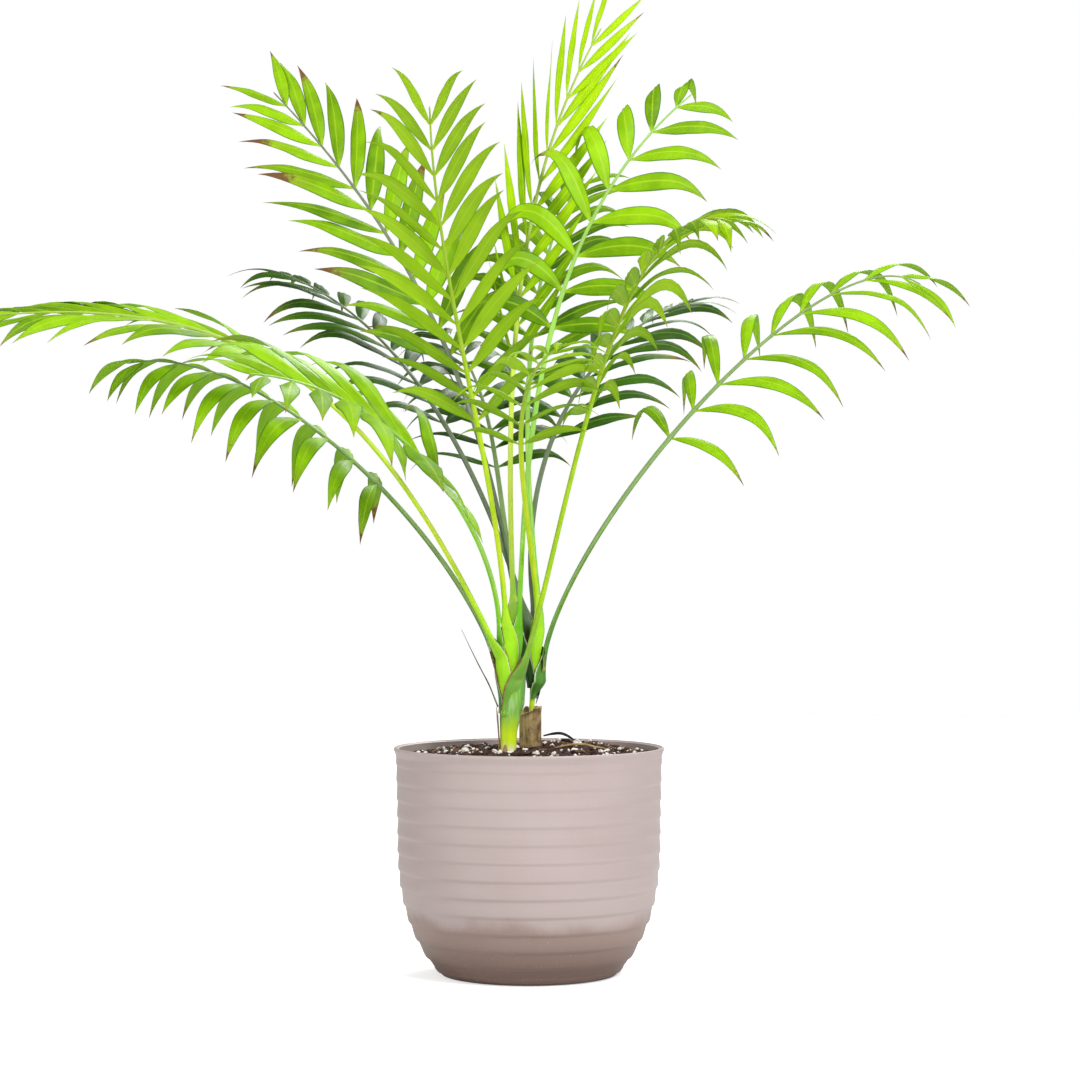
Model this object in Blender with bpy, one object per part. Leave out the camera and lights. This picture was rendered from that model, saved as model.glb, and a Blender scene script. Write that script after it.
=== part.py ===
"""Young feather palm with two shoots, in a ribbed round pot. Metres, +Z up, origin under the pot's centre."""

import math
import random

import bmesh
import bpy
from mathutils import Matrix, Vector, noise
from mathutils.bvhtree import BVHTree

GAP = 0.0003  # air left between touching pieces

# Pot
POT_HEIGHT = 0.172
RIM_RADIUS = 0.1025
NECK_RADIUS = 0.1010  # just under the lip
LIP_HEIGHT = 0.0070
SHOULDER_HEIGHT = 0.112  # below this the wall turns in towards the foot
SHOULDER_RADIUS = 0.0997
FOOT_RADIUS = 0.0675
WALL = 0.0024
FLOOR_THICKNESS = 0.0035
RIB_COUNT = 12
RIB_TOP = 0.158
RIB_BOTTOM = 0.012
RIB_DEPTH = 0.0007
POT_SEGMENTS = 40
DRAIN_COUNT = 6
DRAIN_RADIUS = 0.004
DRAIN_RING = 0.040

# Potting mix
MIX_EDGE = 0.160
MIX_CROWN = 0.1695
MIX_ROUGHNESS = 0.0016
HEAP = (0.030, 0.035)  # a second, higher heap behind and to the right of the shoots
HEAP_HEIGHT = 0.0045
HEAP_SPREAD = 0.036

PERLITE_COUNT = 7
BARK_COUNT = 5
LOOSE_INNER = 0.036  # the ring on which the loose pieces lie
LOOSE_OUTER = 0.058
GOLDEN_ANGLE = 2.4

# Shoots: centre line and radius, from the buried end up
FRONT_SHOOT = (
    ((-0.0160, -0.0100, 0.1460), 0.0058),
    ((-0.0160, -0.0100, 0.1700), 0.0063),
    ((-0.0155, -0.0090, 0.1980), 0.0070),
    ((-0.0150, -0.0070, 0.2250), 0.0058),
    ((-0.0145, -0.0050, 0.2500), 0.0042),
    ((-0.0145, -0.0040, 0.2660), 0.0030),
)
REAR_SHOOT = (
    ((0.0010, 0.0130, 0.1460), 0.0030),
    ((0.0010, 0.0130, 0.1700), 0.0030),
    ((0.0025, 0.0130, 0.2100), 0.0030),
    ((0.0030, 0.0130, 0.2260), 0.0046),
    ((0.0030, 0.0140, 0.2500), 0.0040),
    ((0.0030, 0.0145, 0.2680), 0.0026),
)
SHOOTS = {"front": FRONT_SHOOT, "rear": REAR_SHOOT}

# Fronds
PETIOLE_RADIUS = 0.0021
SHEATH_RADIUS = 0.0026
SHEATH_LENGTH = 0.030
RACHIS_TIP_RADIUS = 0.0006
LEAF_THICKNESS = 0.0006
LEAF_BASE = 0.0016  # half the length along the rachis that one leaflet grows from
CLEARANCE = 0.0007  # kept between leaflets when they are laid out
PETIOLE_RINGS = 9

LEAF_GREEN = (0.16, 0.42, 0.03)
YOUNG_GREEN = (0.33, 0.60, 0.04)
DARK_GREEN = (0.05, 0.20, 0.03)
STEM_GREEN = (0.40, 0.62, 0.10)

# Each frond: the shoot it grows on, how high and on which side (degrees, 0 towards +X), then the points that
# its stalk rises towards, arches over and ends at, then its leaflets. first is the share of the stalk that
# is bare; spread runs from the lowest leaflets' angle to the last ones'; faces is where its upper side looks.
SOCKETS = (("front", 0.0066, 12), ("rear", 0.0088, 14))  # holes in the mix: shoot, radius, sides
SHEATHS = {
    "old_sheath_sleeve": {
        "centre": (0.0010, 0.0130, 0), "radii": (0.0084, 0.0080), "heights": (0.1465, 0.2010),
        "wall": 0.0014, "sides": 14, "ragged": 0.006, "start": 0.0, "sweep": 360.0,
        "material": "old_sheath", "colour": (0.22, 0.15, 0.07), "roughness": 0.8,
    },
    "dry_sheath_strip": {
        "centre": (-0.0160, -0.0100, 0), "radii": (0.0082, 0.0092), "heights": (0.1735, 0.2010),
        "wall": 0.0008, "sides": 4, "ragged": 0.003, "start": 150.0, "sweep": 50.0,
        "material": "dry_sheath", "colour": (0.42, 0.26, 0.12), "roughness": 0.8,
    },
    "torn_sheath": {
        "centre": (0.0030, 0.0125, 0), "radii": (0.0064, 0.0105), "heights": (0.2150, 0.2480),
        "wall": 0.0007, "sides": 6, "ragged": 0.012, "start": 42.0, "sweep": 95.0,
        "material": "torn_green", "colour": (0.25, 0.40, 0.10), "roughness": 0.6,
    },
}
STRAY_FIBRE = (  # point, radius
    ((-0.0234, -0.0128, 0.2070), 0.0005), ((-0.0300, -0.0145, 0.2195), 0.0005),
    ((-0.0370, -0.0150, 0.2330), 0.0004), ((-0.0440, -0.0140, 0.2470), 0.0003),
    ((-0.0509, -0.0120, 0.2614), 0.0002),
)
DARK_TWIG = (  # x, y, lift above the mix, radius
    (0.011, 0.052, 0.0055, 0.0006), (0.018, 0.050, 0.0072, 0.0010), (0.025, 0.049, 0.0070, 0.0012),
    (0.031, 0.050, 0.0055, 0.0011), (0.035, 0.053, 0.0026, 0.0008),
)
TAN_ROOT = (
    (0.019, -0.012, 0.0022, 0.0005), (0.030, -0.009, 0.0030, 0.0009), (0.041, -0.004, 0.0030, 0.0010),
    (0.050, -0.003, 0.0030, 0.0009), (0.058, -0.007, 0.0022, 0.0005),
)
FRONDS = {
    "frond_long_left": {
        "seat": ("front", 0.240, 215), "rise": (-0.105, -0.040, 0.420),
        "arch": (-0.182, -0.120, 0.508), "tip": (-0.372, -0.170, 0.487),
        "first": 0.52, "pairs": 10, "reach": 0.098, "width": 0.0160,
        "spread": (32, 24), "lift": 8, "droop": 0.45, "faces": (0, -0.4, 0.9),
    },
    "frond_low_left": {
        "seat": ("front", 0.232, 150), "rise": (-0.056, -0.005, 0.334),
        "arch": (-0.197, -0.060, 0.478), "tip": (-0.292, -0.090, 0.458),
        "first": 0.42, "pairs": 9, "reach": 0.090, "width": 0.0155,
        "spread": (72, 32), "lift": 5, "droop": 1.9, "faces": (0.1, -0.35, 0.9),
    },
    "frond_front_left": {
        "seat": ("front", 0.250, 200), "rise": (-0.0195, -0.036, 0.345),
        "arch": (-0.100, -0.170, 0.440), "tip": (-0.185, -0.270, 0.440),
        "first": 0.40, "pairs": 9, "reach": 0.112, "width": 0.0195,
        "spread": (66, 27), "lift": 8, "droop": 0.85, "faces": (-0.1, -0.7, 0.7),
    },
    "frond_back_left": {
        "seat": ("rear", 0.266, 130), "rise": (-0.034, 0.046, 0.379),
        "arch": (-0.099, 0.140, 0.508), "tip": (-0.208, 0.220, 0.552),
        "first": 0.42, "pairs": 11, "reach": 0.095, "width": 0.0150,
        "spread": (60, 26), "lift": 10, "droop": 0.6, "faces": (0, 0, 1),
    },
    "frond_front_centre": {
        "seat": ("front", 0.252, 255), "rise": (-0.021, -0.040, 0.381),
        "arch": (-0.067, -0.120, 0.510), "tip": (-0.068, -0.200, 0.628),
        "first": 0.40, "pairs": 13, "reach": 0.088, "width": 0.014,
        "spread": (50, 26), "lift": 14, "droop": 0.3, "faces": (0, 1, 0.5),
    },
    "frond_tall_left": {
        "seat": ("rear", 0.240, 215), "rise": (-0.030, 0.026, 0.426),
        "arch": (-0.079, 0.080, 0.553), "tip": (-0.205, 0.130, 0.688),
        "first": 0.46, "pairs": 12, "reach": 0.096, "width": 0.018,
        "spread": (52, 26), "lift": 8, "droop": 0.25, "faces": (0.25, -1, 0.2),
    },
    "frond_spear": {
        "seat": ("front", 0.266, 60), "rise": (-0.019, 0.010, 0.440),
        "arch": (-0.016, 0.020, 0.597), "tip": (0.055, 0.030, 0.722),
        "first": 0.42, "pairs": 12, "reach": 0.100, "width": 0.0105,
        "spread": (32, 20), "lift": 24, "droop": 0.0, "faces": (0.5, -1, 0),
    },
    "frond_tall_right": {
        "seat": ("front", 0.254, 330), "rise": (-0.003, -0.020, 0.409),
        "arch": (0.007, -0.030, 0.569), "tip": (0.124, 0.020, 0.670),
        "first": 0.50, "pairs": 8, "reach": 0.086, "width": 0.0180,
        "spread": (62, 32), "lift": 5, "droop": 0.8, "faces": (0.1, -1, 0.5),
    },
    "frond_front_right": {
        "seat": ("front", 0.224, 325), "rise": (0.025, -0.050, 0.315),
        "arch": (0.057, -0.140, 0.585), "tip": (0.138, -0.240, 0.545),
        "first": 0.48, "pairs": 13, "reach": 0.085, "width": 0.0150,
        "spread": (62, 27), "lift": 8, "droop": 0.85, "faces": (-0.2, -0.3, 1),
    },
    "frond_back_right": {
        "seat": ("rear", 0.262, 60), "rise": (-0.014, 0.045, 0.365),
        "arch": (0.025, 0.160, 0.486), "tip": (0.136, 0.270, 0.533),
        "first": 0.40, "pairs": 10, "reach": 0.100, "width": 0.0170,
        "spread": (60, 27), "lift": 8, "droop": 0.6, "faces": (0, 0, 1),
    },
    "frond_long_right": {
        "seat": ("rear", 0.222, 345), "rise": (0.003, 0.030, 0.312),
        "arch": (0.228, 0.060, 0.578), "tip": (0.303, 0.050, 0.528),
        "first": 0.45, "pairs": 9, "reach": 0.112, "width": 0.0125,
        "spread": (62, 27), "lift": 10, "droop": 1.15, "faces": (-0.25, -0.6, 0.7),
    },
    "frond_young_front": {
        "seat": ("rear", 0.262, 310), "rise": (0.004, -0.030, 0.345),
        "arch": (-0.029, -0.100, 0.447), "tip": (0.026, -0.240, 0.462),
        "first": 0.48, "pairs": 8, "reach": 0.072, "width": 0.0130,
        "spread": (60, 28), "lift": 15, "droop": 0.6, "faces": (0, 0, 1),
    },
    "frond_back_centre": {
        "seat": ("rear", 0.250, 110), "rise": (-0.031, 0.060, 0.344),
        "arch": (-0.017, 0.180, 0.457), "tip": (-0.078, 0.295, 0.510),
        "first": 0.42, "pairs": 10, "reach": 0.095, "width": 0.0150,
        "spread": (60, 26), "lift": 8, "droop": 0.7, "faces": (0, 0, 1),
    },
    "frond_back_high": {
        "seat": ("rear", 0.270, 20), "rise": (-0.004, 0.040, 0.380),
        "arch": (-0.015, 0.110, 0.540), "tip": (0.045, 0.220, 0.630),
        "first": 0.44, "pairs": 11, "reach": 0.090, "width": 0.0150,
        "spread": (58, 26), "lift": 8, "droop": 0.5, "faces": (0, -0.3, 1),
    },
}
YOUNG_FRONDS = ("frond_spear", "frond_front_centre", "frond_front_right", "frond_young_front")
DARK_FRONDS = ("frond_back_left", "frond_back_right", "frond_back_centre")


def principled(name, colour, roughness):
    material = bpy.data.materials.new(name)
    material.use_nodes = True
    shader = material.node_tree.nodes["Principled BSDF"]
    shader.inputs["Base Color"].default_value = (*colour, 1)
    shader.inputs["Roughness"].default_value = roughness
    shader.inputs["Metallic"].default_value = 0
    material.diffuse_color = (*colour, 1)
    return material


def add_object(name, mesh_data, material, smooth=True):
    """Turns a finished bmesh, whose faces all run the same way round, into an object in the scene."""
    if mesh_data.calc_volume(signed=True) < 0:
        bmesh.ops.reverse_faces(mesh_data, faces=mesh_data.faces)
    mesh = bpy.data.meshes.new(name)
    mesh_data.to_mesh(mesh)
    mesh_data.free()
    mesh.materials.append(material)
    if smooth:
        mesh.shade_smooth()
        mesh.set_sharp_from_angle(angle=math.radians(40))
    obj = bpy.data.objects.new(name, mesh)
    bpy.context.scene.collection.objects.link(obj)
    return obj


def bridge(mesh_data, lower, upper):
    """Quads between two rings of the same number of vertices."""
    count = len(lower)
    for i in range(count):
        j = (i + 1) % count
        mesh_data.faces.new((lower[i], lower[j], upper[j], upper[i]))


def bridge_blade(mesh_data, lower, upper):
    """As bridge, for a thin twisted blade: both of its broad faces are split along the same diagonal."""
    a, b, c, d = lower
    e, f, g, h = upper
    for corners in ((a, b, f), (a, f, e), (b, c, g, f), (c, d, g), (d, h, g), (d, a, e, h)):
        mesh_data.faces.new(corners)


def close_to_point(mesh_data, loop, point):
    count = len(loop)
    for i in range(count):
        mesh_data.faces.new((loop[i], loop[(i + 1) % count], point))


def ring(mesh_data, centre, across, along, radius, sides):
    """A ring of vertices round centre, in the plane of the unit vectors across and along."""
    made = []
    for i in range(sides):
        angle = math.tau * i / sides
        spoke = math.cos(angle) * across + math.sin(angle) * along
        made.append(mesh_data.verts.new(centre + radius * spoke))
    return made


def lathe(profile, segments):
    """A closed turned solid from (radius, height) points; a radius of 0 closes it on the axis."""
    mesh_data = bmesh.new()
    rings = []
    for radius, height in profile:
        if radius == 0:
            rings.append([mesh_data.verts.new((0, 0, height))])
        else:
            rings.append(ring(mesh_data, Vector((0, 0, height)), Vector((1, 0, 0)), Vector((0, 1, 0)),
                              radius, segments))
    for lower, upper in zip(rings, rings[1:]):
        if len(lower) > 1 and len(upper) > 1:
            bridge(mesh_data, lower, upper)
            continue
        if len(upper) == 1:
            close_to_point(mesh_data, lower, upper[0])
        else:
            close_to_point(mesh_data, upper[::-1], lower[0])
    return mesh_data


def wall_radius(height):
    """Outer radius of the pot's wall without its ribs: nearly straight above the shoulder, a curve below."""
    if height >= SHOULDER_HEIGHT:
        rise = (height - SHOULDER_HEIGHT) / (POT_HEIGHT - SHOULDER_HEIGHT)
        return SHOULDER_RADIUS + (NECK_RADIUS - SHOULDER_RADIUS) * rise
    drop = 1 - height / SHOULDER_HEIGHT
    return SHOULDER_RADIUS - (SHOULDER_RADIUS - FOOT_RADIUS) * drop ** 2.9


def pot_profile():
    """From the middle of the base, out, up the ribbed wall, over the rim and down inside."""
    outer = [(0, 0), (DRAIN_RING * 1.4, 0), (FOOT_RADIUS - 0.002, 0), (FOOT_RADIUS, 0.002)]
    pitch = (RIB_TOP - RIB_BOTTOM) / (RIB_COUNT - 1)
    for i in range(RIB_COUNT):
        groove = RIB_BOTTOM + i * pitch
        depth = RIB_DEPTH * (1.5 - i / RIB_COUNT)
        outer.append((wall_radius(groove) - depth, groove))
        if i < RIB_COUNT - 1:
            crest = groove + pitch / 2
            outer.append((wall_radius(crest) + depth / 2, crest))
    lip = POT_HEIGHT - LIP_HEIGHT
    edge = POT_HEIGHT - 0.0015
    outer += [(NECK_RADIUS, lip), (RIM_RADIUS, edge), (RIM_RADIUS - 0.0007, POT_HEIGHT)]
    inner = [(RIM_RADIUS - WALL + 0.0003, POT_HEIGHT), (RIM_RADIUS - WALL - 0.0004, edge)]
    inner.append((NECK_RADIUS - WALL, lip))
    for height in (0.130, 0.100, 0.075, 0.050, 0.030, 0.015, 0.007):
        inner.append((wall_radius(height) - WALL - RIB_DEPTH, height))
    inner += [(wall_radius(FLOOR_THICKNESS) - WALL - 0.003, FLOOR_THICKNESS), (0, FLOOR_THICKNESS)]
    return outer + inner


def cutter(name, mesh_data):
    obj = add_object(name, mesh_data, principled(name, (0.8, 0.1, 0.1), 0.5), smooth=False)
    obj.hide_render = True
    obj.display_type = "WIRE"
    return obj


def cut_away(obj, tool):
    boolean = obj.modifiers.new(tool.name, "BOOLEAN")
    boolean.operation = "DIFFERENCE"
    boolean.solver = "EXACT"
    boolean.object = tool


def make_pot():
    plastic = principled("taupe_plastic", (0.55, 0.46, 0.43), 0.42)
    pot = add_object("pot", lathe(pot_profile(), POT_SEGMENTS), plastic)
    for i in range(DRAIN_COUNT):
        angle = math.tau * (i + 0.5) / DRAIN_COUNT
        drill = lathe([(0, -0.01), (DRAIN_RADIUS, -0.01), (DRAIN_RADIUS, 0.01), (0, 0.01)], 10)
        place = Matrix.Translation((DRAIN_RING * math.cos(angle), DRAIN_RING * math.sin(angle), 0))
        bmesh.ops.transform(drill, matrix=place, verts=drill.verts)
        cut_away(pot, cutter(f"drain_drill_{i + 1}", drill))
    return pot


def mix_height(x, y):
    """The mounded, crumbly top of the potting mix."""
    out = min(1, math.hypot(x, y) / RIM_RADIUS)
    heap = math.exp(-((x - HEAP[0]) ** 2 + (y - HEAP[1]) ** 2) / HEAP_SPREAD ** 2)
    mound = MIX_EDGE + (MIX_CROWN - MIX_EDGE) * (1 - out ** 2.4) + HEAP_HEIGHT * heap
    return mound + MIX_ROUGHNESS * noise.noise(Vector((x, y, 0)) * 90)


def make_mix():
    """Fills the pot from its floor; its top is a fan of rings that follow mix_height."""
    under = FLOOR_THICKNESS + GAP
    profile = [(0, under), (wall_radius(FLOOR_THICKNESS) - WALL - 0.005, under)]
    for height in (0.015, 0.030, 0.050, 0.075, 0.100, 0.130):
        profile.append((wall_radius(height) - WALL - RIB_DEPTH - 2 * GAP - 0.0012, height))
    edge = NECK_RADIUS - WALL - 0.0021
    for share in (1, 0.93, 0.78, 0.6, 0.42, 0.24):
        profile.append((edge * share, MIX_EDGE))
    profile.append((0, MIX_EDGE))
    mesh_data = lathe(profile, 28)
    for vert in mesh_data.verts:
        if vert.co.z > MIX_EDGE - 0.001:
            vert.co.z = mix_height(vert.co.x, vert.co.y)
    mix = add_object("potting_mix", mesh_data, principled("dark_mix", (0.05, 0.03, 0.02), 0.95), smooth=False)
    for shoot, radius, sides in SOCKETS:
        foot = SHOOTS[shoot][0][0]
        low = foot[2] - GAP
        drill = lathe([(0, low), (radius, low), (radius, 0.19), (0, 0.19)], sides)
        bmesh.ops.transform(drill, matrix=Matrix.Translation((foot[0], foot[1], 0)), verts=drill.verts)
        cut_away(mix, cutter(f"socket_{shoot}", drill))
    return mix


def tube(name, stations, sides, material):
    """A round closed stem through (point, radius) stations."""
    mesh_data = bmesh.new()
    previous = None
    for point, radius in stations:
        loop = ring(mesh_data, Vector(point), Vector((1, 0, 0)), Vector((0, 1, 0)), radius, sides)
        if previous:
            bridge(mesh_data, previous, loop)
        else:
            mesh_data.faces.new(loop[::-1])
        previous = loop
    mesh_data.faces.new(previous)
    return add_object(name, mesh_data, material)


def shoot_axis(shoot, height):
    """Centre and radius of a shoot at a height."""
    stations = SHOOTS[shoot]
    for (low, low_radius), (high, high_radius) in zip(stations, stations[1:]):
        if low[2] <= height <= high[2]:
            share = (height - low[2]) / (high[2] - low[2])
            return Vector(low).lerp(Vector(high), share), low_radius + (high_radius - low_radius) * share
    return Vector(stations[-1][0]), stations[-1][1]


def make_shoots():
    green = principled("shoot_green", STEM_GREEN, 0.4)
    tube("shoot_front", FRONT_SHOOT, 12, green)
    tube("shoot_rear", REAR_SHOOT, 10, green)


def ragged_shell(name, centre, radii, heights, wall, sides, ragged, material, start=0.0, sweep=360.0):
    """A thin curved sheath: a full sleeve, or an open strip when sweep is under 360 degrees."""
    mesh_data = bmesh.new()
    rng = random.Random(name)
    closed = sweep >= 360
    count = sides if closed else sides + 1
    columns = []
    for i in range(count):
        angle = math.radians(start + sweep * i / sides)
        out = Vector((math.cos(angle), math.sin(angle), 0))
        top = heights[1] - ragged * rng.random()
        middle = (heights[0] + top) / 2
        column = []
        for radius, height in ((radii[0], heights[0]), ((radii[0] + radii[1]) / 2, middle), (radii[1], top)):
            for offset in (0, -wall):
                point = Vector(centre) + out * (radius + offset) + Vector((0, 0, height))
                column.append(mesh_data.verts.new(point))
        columns.append(column)
    pairs = list(zip(columns, columns[1:])) + ([(columns[-1], columns[0])] if closed else [])
    for a, b in pairs:
        for low, high in ((0, 2), (2, 4)):
            mesh_data.faces.new((a[low], b[low], b[high], a[high]))
            mesh_data.faces.new((a[low + 1], a[high + 1], b[high + 1], b[low + 1]))
        mesh_data.faces.new((a[0], a[1], b[1], b[0]))
        mesh_data.faces.new((a[4], b[4], b[5], a[5]))
    if not closed:
        for column, turn in ((columns[0], 1), (columns[-1], -1)):
            mesh_data.faces.new((column[0], column[2], column[3], column[1])[::turn])
            mesh_data.faces.new((column[2], column[4], column[5], column[3])[::turn])
    return add_object(name, mesh_data, material)


def make_sheaths():
    """The old brown sleeve round the rear shoot, a dry strip by the front one, and a torn sheath behind."""
    for name, sheath in SHEATHS.items():
        material = principled(sheath["material"], sheath["colour"], sheath["roughness"])
        ragged_shell(name, sheath["centre"], sheath["radii"], sheath["heights"], sheath["wall"],
                     sheath["sides"], sheath["ragged"], material, sheath["start"], sheath["sweep"])


def rod(name, points, radii, sides, material):
    """A thin bent rod, its rings square to its path."""
    mesh_data = bmesh.new()
    path = [Vector(point) for point in points]
    previous = None
    for i, (point, radius) in enumerate(zip(path, radii)):
        heading = (path[min(i + 1, len(path) - 1)] - path[max(i - 1, 0)]).normalized()
        across = heading.cross(Vector((0, 0, 1))).normalized()
        loop = ring(mesh_data, point, across, across.cross(heading), radius, sides)
        if previous:
            bridge(mesh_data, previous, loop)
        else:
            mesh_data.faces.new(loop[::-1])
        previous = loop
    mesh_data.faces.new(previous)
    return add_object(name, mesh_data, material)


def above_mix(x, y, lift):
    return (x, y, mix_height(x, y) + lift)


def make_fibre_and_twigs():
    """A stray leaf fibre beside the front shoot, and a dark twig and a tan root on the mix."""
    points = [point for point, _ in STRAY_FIBRE]
    radii = [radius for _, radius in STRAY_FIBRE]
    rod("stray_fibre", points, radii, 5, principled("fibre", (0.12, 0.13, 0.07), 0.7))
    kinds = (
        ("dark_twig", DARK_TWIG, principled("twig", (0.03, 0.02, 0.015), 0.8)),
        ("tan_root", TAN_ROOT, principled("root", (0.42, 0.27, 0.12), 0.8)),
    )
    for name, stations, material in kinds:
        path = [above_mix(x, y, lift) for x, y, lift, _ in stations]
        rod(name, path, [radius for _, _, _, radius in stations], 6, material)


def make_loose_pieces(mix):
    """Perlite grains and bark chips, each dropped until it nearly meets the mix under it."""
    faces = [tuple(polygon.vertices) for polygon in mix.data.polygons]
    ground = BVHTree.FromPolygons([vertex.co for vertex in mix.data.vertices], faces)
    white = principled("perlite", (0.85, 0.83, 0.78), 0.8)
    brown = principled("bark", (0.16, 0.08, 0.04), 0.9)
    kinds = (
        ("perlite", PERLITE_COUNT, 0.9, (0.0031, 0.0027, 0.0023), white),
        ("bark_chip", BARK_COUNT, 2.3, (0.0072, 0.0036, 0.0014), brown),
    )
    for name, count, start, size, material in kinds:
        rng = random.Random(name)
        for i in range(count):
            angle = start + GOLDEN_ANGLE * i
            out = LOOSE_INNER + (LOOSE_OUTER - LOOSE_INNER) * ((i * 0.618) % 1)
            lump = bmesh.new()
            bmesh.ops.create_icosphere(lump, subdivisions=1, radius=1)
            for vert in lump.verts:
                vert.co *= rng.uniform(0.85, 1.1)
            turn = Matrix.Rotation(rng.uniform(0, math.tau), 4, "Z")
            bmesh.ops.transform(lump, matrix=turn @ Matrix.Diagonal((*size, 1)), verts=lump.verts)
            place = Vector((out * math.cos(angle), out * math.sin(angle), 0))
            rise = 0
            for vert in lump.verts:
                top = ground.ray_cast(place + vert.co + Vector((0, 0, 1)), Vector((0, 0, -1)))[0]
                rise = max(rise, top.z - vert.co.z)
            place.z = rise + 2 * GAP
            bmesh.ops.translate(lump, vec=place, verts=lump.verts)
            add_object(f"{name}_{i + 1}", lump, material, smooth=False)


def bezier(points, share):
    """Point and direction on a cubic curve."""
    a, b, c, d = points
    rest = 1 - share
    point = rest ** 3 * a + 3 * rest ** 2 * share * b + 3 * rest * share ** 2 * c + share ** 3 * d
    heading = 3 * rest ** 2 * (b - a) + 6 * rest * share * (c - b) + 3 * share ** 2 * (d - c)
    return point, heading.normalized()


class Stalk:
    """A frond's petiole and rachis: a smooth curve measured along its own length."""

    SAMPLES = 80

    def __init__(self, plan):
        shoot, height, side = plan["seat"]
        centre, radius = shoot_axis(shoot, height)
        angle = math.radians(side)
        foot = centre + (radius + SHEATH_RADIUS * 1.2 + GAP) * Vector((math.cos(angle), math.sin(angle), 0))
        self.points = [foot] + [Vector(plan[key]) for key in ("rise", "arch", "tip")]
        self.faces = Vector(plan["faces"])
        self.bare = plan["first"]
        self.shares = [0.0]
        last = foot
        for i in range(1, self.SAMPLES + 1):
            point = bezier(self.points, i / self.SAMPLES)[0]
            self.shares.append(self.shares[-1] + (point - last).length)
            last = point
        self.length = self.shares[-1]

    def at(self, along):
        """Point, direction, side and upper vectors at a share of the length."""
        target = along * self.length
        i = 1
        while i < self.SAMPLES and self.shares[i] < target:
            i += 1
        step = (target - self.shares[i - 1]) / (self.shares[i] - self.shares[i - 1])
        point, heading = bezier(self.points, (i - 1 + step) / self.SAMPLES)
        upper = (self.faces - self.faces.dot(heading) * heading).normalized()
        return point, heading, heading.cross(upper), upper

    def radius(self, along):
        """Sheath at the foot, petiole, then a rachis that thins to the tip."""
        if along > self.bare:
            share = (along - self.bare) / (1 - self.bare)
            return PETIOLE_RADIUS * 0.9 + (RACHIS_TIP_RADIUS - PETIOLE_RADIUS * 0.9) * share
        flare = max(0, 1 - along * self.length / SHEATH_LENGTH)
        return PETIOLE_RADIUS * (1 - 0.1 * along / self.bare) + (SHEATH_RADIUS - PETIOLE_RADIUS) * flare


def leaflet_line(base, heading, bend, length, steps=6):
    """Centre line of a leaflet that sets off along heading and bends more and more towards bend."""
    points = [base]
    headings = [heading]
    for i in range(steps):
        share = (i + 0.5) / steps
        now = (heading + bend * share ** 1.3).normalized()
        points.append(points[-1] + now * (length / steps))
        headings.append(now)
    return points, headings


def leaflet_section(points, headings, share, across, half, thickness, roll, side):
    """Four corners of the blade at a share of its length: trailing and leading edge, low then high."""
    steps = len(points) - 1
    i = min(steps - 1, int(share * steps))
    centre = points[i].lerp(points[i + 1], share * steps - i)
    heading = headings[i + 1]
    width = (across - across.dot(heading) * heading).normalized()
    width.rotate(Matrix.Rotation(roll, 3, heading))
    low = side * 0.5 * thickness * width.cross(heading)
    high = -low
    edge = half * width
    return [centre - edge + low, centre + edge + low, centre + edge + high, centre - edge + high]


BLADE = ((0.34, 1.0), (0.68, 0.66))  # share of the length, share of the full width
GIVE_WAY = ((0, 0, 1), (10, 0, 1), (-10, 0, 1), (0, 8, 1), (0, -8, 1), (18, 6, 1), (-18, -6, 0.95),
            (26, 0, 0.95), (-26, 0, 0.9), (10, 14, 0.9), (-10, -14, 0.85), (34, 8, 0.85), (-34, -8, 0.8),
            (20, 20, 0.75), (-20, -20, 0.7), (40, 0, 0.65), (-40, 0, 0.6), (0, 26, 0.55), (0, -26, 0.5),
            (48, 12, 0.45), (-48, -12, 0.4), (0, 0, 0.35), (30, 0, 0.3), (-30, 0, 0.25))


def leaflet_shape(stalk, plan, index, side, give, thickness):
    """Corners of one leaflet's blade sections and its tip point."""
    lifted, turned, shortened = give
    pairs = plan["pairs"]
    share = index / (pairs - 1)
    along = leaflet_place(plan, index)
    point, heading, across, upper = stalk.at(along)
    low, high = plan["spread"]
    rng = random.Random(f"{plan['tip']}{index}{side}")
    angle = math.radians(low + (high - low) * share ** 0.8 + rng.uniform(-4, 4) + turned)
    lift = math.radians(plan["lift"] + rng.uniform(-5, 5) + lifted)
    out = math.cos(lift) * side * across + math.sin(lift) * upper
    start = math.cos(angle) * heading + math.sin(angle) * out
    length = plan["reach"] * math.sin(math.pi * (0.27 + 0.56 * share)) ** 0.8
    length *= rng.uniform(0.92, 1.05) * shortened
    fall = plan["droop"] * rng.uniform(0.75, 1.25) * (1 + max(0, start.z))
    bend = Vector((0, 0, -fall)) + 0.15 * heading
    base = point + side * across * stalk.radius(along)
    points, headings = leaflet_line(base, start, bend, length)
    half = plan["width"] / 2 * (1 - 0.2 * (1 - share) ** 3 - 0.42 * share ** 2) * (0.7 + 0.3 * shortened)
    roll = math.radians(-side * (14 + rng.uniform(-4, 4)))
    sections = [leaflet_section(points, headings, at, heading, half * wide, thickness, roll, side)
                for at, wide in BLADE]
    return base, sections, points[-1]


def leaflet_place(plan, index):
    return plan["first"] + (0.985 - plan["first"]) * (index + 0.35) / (plan["pairs"] - 0.35)


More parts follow.
